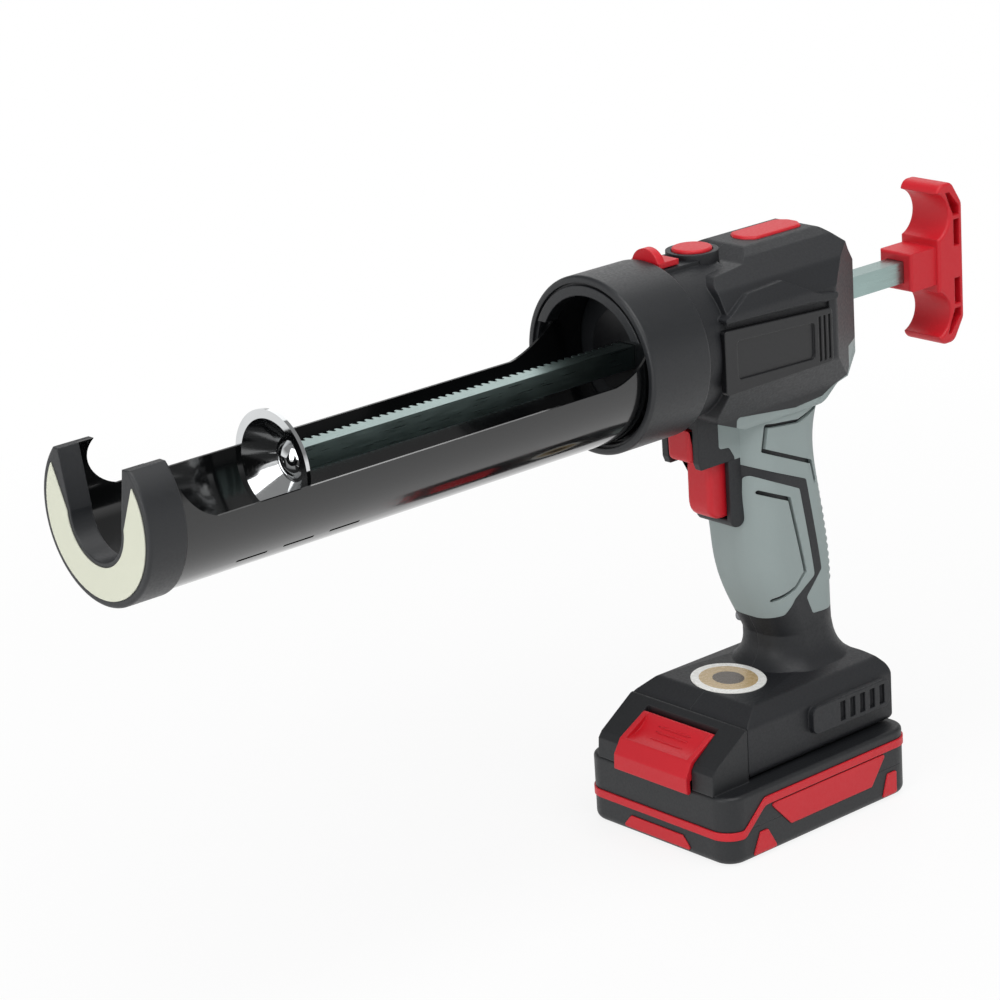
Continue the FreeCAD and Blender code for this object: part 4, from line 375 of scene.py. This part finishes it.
def guide_acetal(s):
    # Machined acetal: waxy black.
    return moulded("black_acetal_machined", s.plaque, s.skin_grain, 0.4 * s.edge, roughness=0.36,
                   depth=0.01 * MM)


def board_fr4(s):
    # Lacquered glass board: deep green with a wet gloss.
    return moulded("green_glass_board", s.board, s.skin_grain, 0.2 * s.edge, roughness=0.25,
                   depth=0.01 * MM)


def cell_sleeve(s):
    # Shrunk PVC sleeve on the cells: blue and glossy.
    return moulded("blue_pvc_sleeve", s.sleeve, s.skin_grain, 0.2 * s.edge, roughness=0.3,
                   depth=0.01 * MM)


def barrel_paint(s):
    # Baked black enamel on rolled steel: deep gloss that ripples slightly like orange peel.
    material, tree, place = blank_material("black_enamel_baked")
    peel = add(tree, "ShaderNodeTexNoise", {"Vector": place, "Scale": 1 / s.peel, "Detail": 1.0})
    dust = add(tree, "ShaderNodeTexNoise", {"Vector": place, "Scale": 1 / DUST_SIZE, "Detail": 4.0})
    low, high = DUST_BAND
    clean, dusty = ENAMEL_GLOSS
    gloss = add(tree, "ShaderNodeMapRange", {
        "Value": dust.outputs["Fac"], "From Min": low, "From Max": high, "To Min": clean,
        "To Max": dusty})
    bump = add(tree, "ShaderNodeBump", {
        "Strength": PEEL_STRENGTH, "Distance": PEEL_DEPTH, "Height": peel.outputs["Fac"]})
    body = add(tree, "ShaderNodeBsdfPrincipled", {
        "Base Color": shade(s.paint, 1), "IOR": PLASTIC_IOR, "Roughness": gloss.outputs[0],
        "Normal": bump.outputs[0], "Coat Weight": COAT_WEIGHT, "Coat Roughness": COAT_ROUGHNESS})
    return close(material, tree, body)


def plated(name, tint, spacing, *, roughness, depth, stretch=(1.0, 1.0, 1.0)):
    """Bright metal with fine lines and a cloudy shine."""
    material, tree, place = blank_material(name)
    drawn = add(tree, "ShaderNodeMapping", {"Vector": place, "Scale": stretch})
    lines = add(tree, "ShaderNodeTexNoise", {
        "Vector": drawn.outputs[0], "Scale": 1 / spacing, "Detail": 2.0})
    cloud = add(tree, "ShaderNodeTexNoise", {
        "Vector": place, "Scale": 1 / PLATE_CLOUD, "Detail": 3.0})
    dark, light = (shade(tint, share) for share in PLATE_TONES)
    tone = add(tree, "ShaderNodeMix", {"Factor": cloud.outputs["Fac"], 6: dark, 7: light},
               data_type="RGBA")
    low, high = NOISE_BAND
    smooth, rough = roughness
    gloss = add(tree, "ShaderNodeMapRange", {
        "Value": lines.outputs["Fac"], "From Min": low, "From Max": high, "To Min": smooth,
        "To Max": rough})
    bump = add(tree, "ShaderNodeBump", {
        "Strength": LINE_STRENGTH, "Distance": depth, "Height": lines.outputs["Fac"]})
    body = add(tree, "ShaderNodeBsdfPrincipled", {
        "Base Color": tone.outputs[2], "Metallic": 1.0, "Roughness": gloss.outputs[0],
        "Normal": bump.outputs[0]})
    return close(material, tree, body)


def rod_zinc(s):
    # Cold drawn bar with bright zinc: pale blue-grey, with draw lines along its length.
    return plated("zinc_plate_on_drawn_bar", s.zinc, s.draw, roughness=(0.26, 0.40),
                  depth=0.006 * MM, stretch=(0.04, 1.0, 1.0))


def disc_chrome(s):
    # Spun steel with chrome: a clear mirror, clouded very slightly.
    return plated("chrome_plate_on_spun_steel", s.chrome, s.draw, roughness=(0.05, 0.10),
                  depth=0.002 * MM)


def gear_steel(s):
    # Hardened and oiled steel: mid grey with a greasy shine.
    return plated("hardened_steel_oiled", s.steel, s.draw, roughness=(0.26, 0.42), depth=0.005 * MM)


def contact_brass(s):
    # Stamped brass: warm and softly bright.
    return plated("brass_stamped", s.brass, s.draw, roughness=(0.22, 0.36), depth=0.005 * MM)


def label_vinyl(s, half_length, half_width):
    # Printed vinyl: flat rings of colour under a thin clear film, so it shines more than the foot.
    material, tree, place = blank_material("printed_vinyl_label")
    apart = add(tree, "ShaderNodeVectorMath", {0: place, 1: middle("oval_label")},
                operation="SUBTRACT")
    scale = (1 / half_length, 1 / half_width, 0.0)
    flat = add(tree, "ShaderNodeVectorMath", {0: apart.outputs[0], 1: scale}, operation="MULTIPLY")
    reach = add(tree, "ShaderNodeVectorMath", {0: flat.outputs[0]}, operation="LENGTH")
    rings = add(tree, "ShaderNodeValToRGB", {"Fac": reach.outputs["Value"]})
    inner, outer = LABEL_RING_SHARES
    ramp = rings.color_ramp
    ramp.interpolation = "CONSTANT"
    ramp.elements[0].color = shade(s.label_centre, 1)
    ramp.elements[1].position = inner
    ramp.elements[1].color = shade(s.label_ring, 1)
    ramp.elements.new(outer).color = shade(s.label_rim, 1)
    mottle = add(tree, "ShaderNodeTexNoise", {
        "Vector": place, "Scale": 1 / MOTTLE_SIZE, "Detail": 2.0})
    smooth, rough = FILM_GLOSS
    gloss = add(tree, "ShaderNodeMapRange", {
        "Value": mottle.outputs["Fac"], "To Min": smooth, "To Max": rough})
    body = add(tree, "ShaderNodeBsdfPrincipled", {
        "Base Color": rings.outputs[0], "IOR": PLASTIC_IOR, "Roughness": gloss.outputs[0]})
    return close(material, tree, body)


def dress(names, material):
    """Puts one material on every slot of the named nodes."""
    for name in names:
        mesh = NODES[name].data
        mesh.materials.clear()
        mesh.materials.append(material)


def middle(node):
    """Middle of a node's box."""
    low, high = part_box(node)
    return [(a + b) / 2 for a, b in zip(low, high)]


def mesh_piece(name, form, material, body):
    """Object made from a finished form, dressed and carried by a body."""
    bmesh.ops.recalc_face_normals(form, faces=form.faces)
    mesh = bpy.data.meshes.new(name)
    form.to_mesh(mesh)
    form.free()
    mesh.materials.append(material)
    piece = bpy.data.objects.new(name, mesh)
    bpy.context.scene.collection.objects.link(piece)
    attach(piece, body)
    return piece


def struck(node, rays):
    """Points and normals where rays first meet a node."""
    mesh = NODES[node].data
    tree = BVHTree.FromPolygons([v.co for v in mesh.vertices], [p.vertices for p in mesh.polygons])
    hits = [tree.ray_cast(start, way) for start, way in rays]
    return [(spot, normal) for spot, normal, face, reach in hits if spot]


def close_rings(form, rings):
    """Joins rings of points into a skin and closes both of its ends."""
    for ring, after in zip(rings, rings[1:]):
        for k in range(len(ring)):
            form.faces.new((ring[k - 1], ring[k], after[k], after[k - 1]))
    form.faces.new(rings[0])
    form.faces.new(rings[-1])


def lay_rib(form, rows, width, rise):
    """Low round bar over points of a surface, sunk into it at both ends."""
    last = len(rows) - 1
    rings = []
    for i, (spot, normal) in enumerate(rows):
        across = (UP - normal * normal.z).normalized()
        swell = min(1.0, RIB_END_SHARE + RIB_TAPER * min(i, last - i) / last)
        rings.append([form.verts.new(spot + across * side * width
                                     + normal * rise * (top * swell - RIB_SINK_SHARE * (1 - swell)))
                      for side, top in RIB_SHARES])
    close_rings(form, rings)


def levels(low, high, step):
    """Even heights from low to high."""
    return [low + i * step for i in range(int((high - low) / step) + 1)]


def grip_ribs(s):
    """Ribs round the back of the soft grip."""
    form = bmesh.new()
    for z in levels(*GRIP_RIB_HEIGHTS, s.rib_step):
        rays = []
        for i in range(-GRIP_RIB_SAMPLES, GRIP_RIB_SAMPLES + 1):
            turn = math.radians(GRIP_RIB_TURN_DEG) * i / GRIP_RIB_SAMPLES
            way = Vector((-math.cos(turn), math.sin(turn), 0.0))
            rays.append((Vector((GRIP_CORE_X, 0.0, z)) + way * RAY_REACH, -way))
        rows = [row for row in struck("grip_skin_back", rays) if row[0].x < GRIP_RIB_FRONT_X]
        lay_rib(form, rows, s.rib_width, s.rib_rise)
    return form


def thumb_ribs(s):
    """Ribs across the scoop of the pack button."""
    form = bmesh.new()
    for z in levels(*THUMB_RIB_HEIGHTS, s.thumb_step):
        rays = [(Vector((RAY_REACH, THUMB_RIB_HALF * i / THUMB_RIB_SAMPLES, z)),
                 Vector((-1.0, 0.0, 0.0)))
                for i in range(-THUMB_RIB_SAMPLES, THUMB_RIB_SAMPLES + 1)]
        lay_rib(form, struck("pack_button", rays), s.thumb_width, s.thumb_rise)
    return form


def trigger_guard(s):
    """Cheeks on both sides of the trigger, joined by a floor under it."""
    low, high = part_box("trigger")
    inner = high[1] + s.guard_gap
    outer = inner + s.guard_wall
    sill = low[2] - s.guard_gap
    rear = low[0] - s.guard_root
    front = low[0] + s.guard_front
    top = low[2] + s.guard_rise
    lower = []
    for x, quarter in ((rear + s.guard_floor, -2), (front - s.guard_floor, -1)):
        for i in range(GUARD_CORNER_STEPS + 1):
            turn = math.pi / 2 * (quarter + i / GUARD_CORNER_STEPS)
            lower.append((x + s.guard_floor * math.cos(turn),
                          sill + s.guard_floor * math.sin(turn)))
    upper = [lower[-1], (front, top), (rear, top), lower[0]]
    form = bmesh.new()
    corners = {(spot, y): form.verts.new((spot[0], y, spot[1])) for spot in lower + upper[1:3]
               for y in (-outer, -inner, inner, outer)}
    right, between, left = (-outer, -inner), (-inner, inner), (inner, outer)
    for outline, spans in ((lower, (right, between, left)), (upper, (right, left)),
                           ((lower[0], lower[-1]), (between,))):
        for here, there in zip(outline, outline[1:]):
            for a, b in spans:
                form.faces.new((corners[here, a], corners[there, a],
                                corners[there, b], corners[here, b]))
    for outline, sides in ((lower, (-outer, outer)), (upper, (-outer, -inner, inner, outer))):
        for y in sides:
            form.faces.new([corners[spot, y] for spot in outline])
    return form


def soft_outline(corners):
    """Closed outline with each corner eased over a run along both of its sides."""
    spots = []
    for i, (x, z, run) in enumerate(corners):
        here = Vector((x, z))
        sides = (Vector(corners[k % len(corners)][:2]) - here for k in (i - 1, i + 1))
        before, after = (side.normalized() for side in sides)
        for k in range(LEVER_CORNER_STEPS + 1):
            t = k / LEVER_CORNER_STEPS
            spots.append(here + before * run * (1 - t) ** 2 + after * run * t ** 2)
    return spots


def trigger_lever(s):
    """Trigger with a round foot and round sides."""
    low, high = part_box("trigger")
    spots = soft_outline([(low[0] + x * MM, low[2] + z * MM, run * MM)
                          for x, z, run in LEVER_CORNERS_MM])
    count = len(spots)
    tangents = [(spots[(i + 1) % count] - spots[i - 1]).normalized() for i in range(count)]
    form = bmesh.new()
    rings = []
    turns = [math.pi / 2 * k / LEVER_EDGE_STEPS for k in range(LEVER_EDGE_STEPS + 1)]
    for side, way in ((1, turns), (-1, turns[::-1])):
        for turn in way:
            y = side * (high[1] - s.lever_edge * (1 - math.cos(turn)))
            inset = s.lever_edge * (1 - math.sin(turn))
            rings.append([form.verts.new((spot.x - inset * along.y, y, spot.y + inset * along.x))
                          for spot, along in zip(spots, tangents)])
    close_rings(form, rings)
    return form


def foot_label(s):
    """Thin oval film with a rounded rim, laid along the slope of the foot's roof."""
    low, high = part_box("oval_label")
    x, y, z = middle("oval_label")
    slope = (low[2] - high[2] + s.label_thick) / (high[0] - low[0])
    form = bmesh.new()
    rings = []
    for share, lift in LABEL_RIM_SHARES:
        ring = []
        for i in range(LABEL_STEPS):
            turn = 2 * math.pi * i / LABEL_STEPS
            along = share * s.label_half_length * math.cos(turn)
            ring.append(form.verts.new((x + along, y + share * s.label_half_width * math.sin(turn),
                                        z + slope * along + lift * s.label_thick)))
        rings.append(ring)
    close_rings(form, rings)
    return form


class CAULK_OT_dress_body(bpy.types.Operator):
    """Finish the housing, its plaques and the soft grip"""

    bl_idname = "caulk.dress_body"
    bl_label = "Dress the body"

    def execute(self, context):
        s = context.scene.caulk_finish
        dress(HOUSING_NODES, housing_abs(s))
        dress(PLAQUE_NODES, plaque_abs(s))
        dress(SKIN_NODES, grip_tpe(s))
        return {"FINISHED"}


class CAULK_OT_dress_barrel(bpy.types.Operator):
    """Finish the tube, collar, cap and pad"""

    bl_idname = "caulk.dress_barrel"
    bl_label = "Dress the barrel"

    def execute(self, context):
        s = context.scene.caulk_finish
        dress(("barrel_tube",), barrel_paint(s))
        dress(NYLON_NODES, collar_nylon(s))
        dress(("front_pad",), pad_polythene(s))
        return {"FINISHED"}


class CAULK_OT_dress_red(bpy.types.Operator):
    """Finish the red mouldings"""

    bl_idname = "caulk.dress_red"
    bl_label = "Dress the red mouldings"

    def execute(self, context):
        s = context.scene.caulk_finish
        dress(RED_NODES, red_abs(s))
        return {"FINISHED"}


class CAULK_OT_dress_metal(bpy.types.Operator):
    """Finish the rod, disc, gears, springs and screws"""

    bl_idname = "caulk.dress_metal"
    bl_label = "Dress the metal"

    def execute(self, context):
        s = context.scene.caulk_finish
        dress(ZINC_NODES, rod_zinc(s))
        dress(CHROME_NODES, disc_chrome(s))
        dress(STEEL_NODES, gear_steel(s))
        dress(BRASS_NODES, contact_brass(s))
        return {"FINISHED"}


class CAULK_OT_dress_pack(bpy.types.Operator):
    """Finish the battery pack and what is inside the tool"""

    bl_idname = "caulk.dress_pack"
    bl_label = "Dress the battery pack"

    def execute(self, context):
        s = context.scene.caulk_finish
        dress(PACK_NODES, pack_abs(s))
        dress(("pack_cells",), cell_sleeve(s))
        dress(("control_board",), board_fr4(s))
        dress(GUIDE_NODES, guide_acetal(s))
        return {"FINISHED"}


class CAULK_OT_add_ribs(bpy.types.Operator):
    """Lay the ribs of the grip and of the pack button"""

    bl_idname = "caulk.add_ribs"
    bl_label = "Add the ribs"

    def execute(self, context):
        s = context.scene.caulk_trim
        rubber = bpy.data.materials["grey_tpe_overmould"]
        red = bpy.data.materials["red_abs_moulded"]
        for name, form, material, body, slot in (
                ("grip_ribs", grip_ribs(s), rubber, "housing", "soft_grey"),
                ("thumb_ribs", thumb_ribs(s), red, "pack_button", "red_plastic")):
            mesh_piece(name, form, material, body).data.shade_smooth()
        return {"FINISHED"}


class CAULK_OT_add_guard(bpy.types.Operator):
    """Set the guard beside and under the trigger"""

    bl_idname = "caulk.add_guard"
    bl_label = "Add the trigger guard"

    def execute(self, context):
        s = context.scene.caulk_trim
        charcoal = bpy.data.materials["charcoal_abs_sparked"]
        guard = mesh_piece("trigger_guard", trigger_guard(s), charcoal, "housing")
        rounding = guard.modifiers.new("edges", "BEVEL")
        rounding.width = s.guard_edge
        rounding.segments = GUARD_EDGE_STEPS
        return {"FINISHED"}


class CAULK_OT_add_trigger(bpy.types.Operator):
    """Set the round trigger in its guard"""

    bl_idname = "caulk.add_trigger"
    bl_label = "Add the trigger"

    def execute(self, context):
        s = context.scene.caulk_trim
        red = bpy.data.materials["red_abs_moulded"]
        lever = mesh_piece("trigger_lever", trigger_lever(s), red, "trigger")
        lever.data.shade_smooth()
        lever.modifiers.new("faces", "WEIGHTED_NORMAL")
        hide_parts("trigger")
        return {"FINISHED"}


class CAULK_OT_add_label(bpy.types.Operator):
    """Lay the plain oval label on the foot"""

    bl_idname = "caulk.add_label"
    bl_label = "Add the label"

    def execute(self, context):
        s = context.scene.caulk_trim
        film = label_vinyl(context.scene.caulk_finish, s.label_half_length, s.label_half_width)
        label = mesh_piece("foot_label", foot_label(s), film, "housing")
        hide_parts("oval_label")
        return {"FINISHED"}


def ray_kinds(tree):
    """Which rays come straight from the camera, and which by a mirror or through glass."""
    path = add(tree, "ShaderNodeLightPath").outputs
    mirror = add(tree, "ShaderNodeMath", {0: path["Is Glossy Ray"], 1: path["Is Transmission Ray"]},
                 operation="MAXIMUM")
    return path["Is Camera Ray"], mirror.outputs[0]


def floor_sheet(s):
    """Pale floor that keeps the tool's shadow."""
    mesh = bpy.data.meshes.new("floor")
    form = bmesh.new()
    bmesh.ops.create_grid(form, x_segments=FLOOR_CELLS, y_segments=FLOOR_CELLS, size=s.floor_half)
    form.to_mesh(mesh)
    form.free()
    floor = bpy.data.objects.new("floor", mesh)
    bpy.context.scene.collection.objects.link(floor)
    mesh.materials.append(floor_paper(s))
    return floor


def floor_paper(s):
    # Matt paper sweep: white to the eye, darker only where the tool shades it.
    material, tree, place = blank_material("white_paper_matt")
    fibre = add(tree, "ShaderNodeTexNoise", {
        "Vector": place, "Scale": 1 / PAPER_CLOUD, "Detail": 2.0})
    tone = add(tree, "ShaderNodeMix", {
        "Factor": fibre.outputs["Fac"], 6: shade(s.floor, PAPER_SHADE), 7: shade(s.floor, 1)},
        data_type="RGBA")
    paper = add(tree, "ShaderNodeBsdfPrincipled", {
        "Base Color": tone.outputs[2], "IOR": PAPER_IOR, "Roughness": PAPER_ROUGHNESS})
    white = add(tree, "ShaderNodeEmission", {"Color": WHITE, "Strength": 1.0})
    away = add(tree, "ShaderNodeVectorMath", {0: place}, operation="LENGTH").outputs["Value"]
    near, far = FLOOR_BLEACH
    bleach = add(tree, "ShaderNodeMapRange", {
        "Value": away, "From Min": near, "From Max": far, "To Min": s.floor_white, "To Max": 1.0})
    camera, mirror = ray_kinds(tree)
    seen = add(tree, "ShaderNodeMath", {0: camera, 1: mirror}, operation="MAXIMUM")
    share = add(tree, "ShaderNodeMath", {0: seen.outputs[0], 1: bleach.outputs[0]},
                operation="MULTIPLY")
    both = add(tree, "ShaderNodeMixShader", {
        "Fac": share.outputs[0], 1: paper.outputs[0], 2: white.outputs[0]})
    return close(material, tree, both)


def aim(place, target):
    """Turn that makes a lamp at a place look at a target."""
    return (Vector(target) - Vector(place)).to_track_quat("-Z", "Y").to_matrix().to_4x4()


def lamp(name, place, target, size, power):
    """Square soft box."""
    light = bpy.data.lights.new(name, "AREA")
    light.shape = "SQUARE"
    light.size = size
    light.energy = power
    box = bpy.data.objects.new(name, light)
    box.matrix_world = Matrix.Translation(place) @ aim(place, target)
    bpy.context.scene.collection.objects.link(box)
    return box


def sky(s):
    """Even studio light: a low sweep that is seen and mirrored as white, and a dimmer ceiling."""
    world = bpy.data.worlds.new("studio")
    world.use_nodes = True
    tree = world.node_tree
    tree.nodes.clear()
    facing = add(tree, "ShaderNodeTexCoord").outputs["Generated"]
    rise = add(tree, "ShaderNodeSeparateXYZ", {0: facing}).outputs["Z"]
    sweep = add(tree, "ShaderNodeMapRange", {
        "Value": rise, "From Min": s.sweep_top, "From Max": s.sweep_top + SWEEP_FADE, "To Min": 1.0,
        "To Max": 0.0})
    camera, mirror = ray_kinds(tree)
    mirrored = add(tree, "ShaderNodeMath", {0: mirror, 1: sweep.outputs[0]}, operation="MULTIPLY")
    seen = add(tree, "ShaderNodeMath", {0: camera, 1: mirrored.outputs[0]}, operation="MAXIMUM")
    even = add(tree, "ShaderNodeBackground", {"Color": WHITE, "Strength": s.sky})
    white = add(tree, "ShaderNodeBackground", {"Color": WHITE, "Strength": 1.0})
    mix = add(tree, "ShaderNodeMixShader", {
        "Fac": seen.outputs[0], 1: even.outputs[0], 2: white.outputs[0]})
    add(tree, "ShaderNodeOutputWorld", {"Surface": mix.outputs[0]})
    return world


def photo_camera(scene):
    """Camera at the angle of the photograph."""
    lens = bpy.data.cameras.new("photo_camera")
    lens.sensor_width = SENSOR_MM
    lens.lens = FOCAL_PIXELS / FRAME_PIXELS * SENSOR_MM
    yaw = math.radians(CAMERA_YAW_DEG)
    pitch = math.radians(CAMERA_PITCH_DEG)
    roll = math.radians(CAMERA_ROLL_DEG)
    back = Vector((math.sin(yaw) * math.cos(pitch), -math.cos(yaw) * math.cos(pitch),
                   math.sin(pitch)))
    right = Vector((math.cos(yaw), math.sin(yaw), 0.0))
    up = back.cross(right)
    tilted = (math.cos(roll) * right + math.sin(roll) * up,
              math.cos(roll) * up - math.sin(roll) * right, back)
    camera = bpy.data.objects.new("photo_camera", lens)
    camera.matrix_world = Matrix.Translation(CAMERA_PLACE) @ Matrix(tilted).transposed().to_4x4()
    scene.collection.objects.link(camera)
    return camera


class CAULK_OT_set_stage(bpy.types.Operator):
    """Lay the floor, set the lights and place the camera"""

    bl_idname = "caulk.set_stage"
    bl_label = "Set the stage"

    def execute(self, context):
        scene = context.scene
        s = scene.caulk_stage
        scene.view_settings.view_transform = "Standard"
        floor = floor_sheet(s)
        powers = (s.key_power, s.fill_power, s.rim_power)
        lamps = [lamp(*row, power) for row, power in zip(LAMPS, powers)]
        scene.world = sky(s)
        scene.camera = photo_camera(scene)
        return {"FINISHED"}


STEPS = ("dress_body", "dress_barrel", "dress_red", "dress_metal", "dress_pack", "add_ribs",
         "add_guard", "add_trigger", "add_label", "set_stage")


class CAULK_PT_tool(bpy.types.Panel):
    """Steps and settings of the caulking tool"""

    bl_idname = "CAULK_PT_tool"
    bl_label = "Caulking tool"
    bl_space_type = "VIEW_3D"
    bl_region_type = "UI"
    bl_category = "Caulking tool"

    def draw(self, context):
        for step in STEPS:
            self.layout.operator("caulk." + step)
        scene = context.scene
        for group in (scene.caulk_finish, scene.caulk_trim, scene.caulk_stage):
            for field in group.__annotations__:
                self.layout.prop(group, field)


CLASSES = (CaulkFinishSettings, CaulkTrimSettings, CaulkStageSettings, CAULK_OT_dress_body,
           CAULK_OT_dress_barrel, CAULK_OT_dress_red, CAULK_OT_dress_metal, CAULK_OT_dress_pack,
           CAULK_OT_add_ribs, CAULK_OT_add_guard, CAULK_OT_add_trigger, CAULK_OT_add_label,
           CAULK_OT_set_stage, CAULK_PT_tool)


def register():
    for item in CLASSES:
        bpy.utils.register_class(item)
    bpy.types.Scene.caulk_finish = bpy.props.PointerProperty(type=CaulkFinishSettings)
    bpy.types.Scene.caulk_trim = bpy.props.PointerProperty(type=CaulkTrimSettings)
    bpy.types.Scene.caulk_stage = bpy.props.PointerProperty(type=CaulkStageSettings)


def unregister():
    del bpy.types.Scene.caulk_stage
    del bpy.types.Scene.caulk_trim
    del bpy.types.Scene.caulk_finish
    for item in reversed(CLASSES):
        bpy.utils.unregister_class(item)


def main():
    register()
    for step in STEPS:
        getattr(bpy.ops.caulk, step)()


if __name__ == "__main__":
    main()
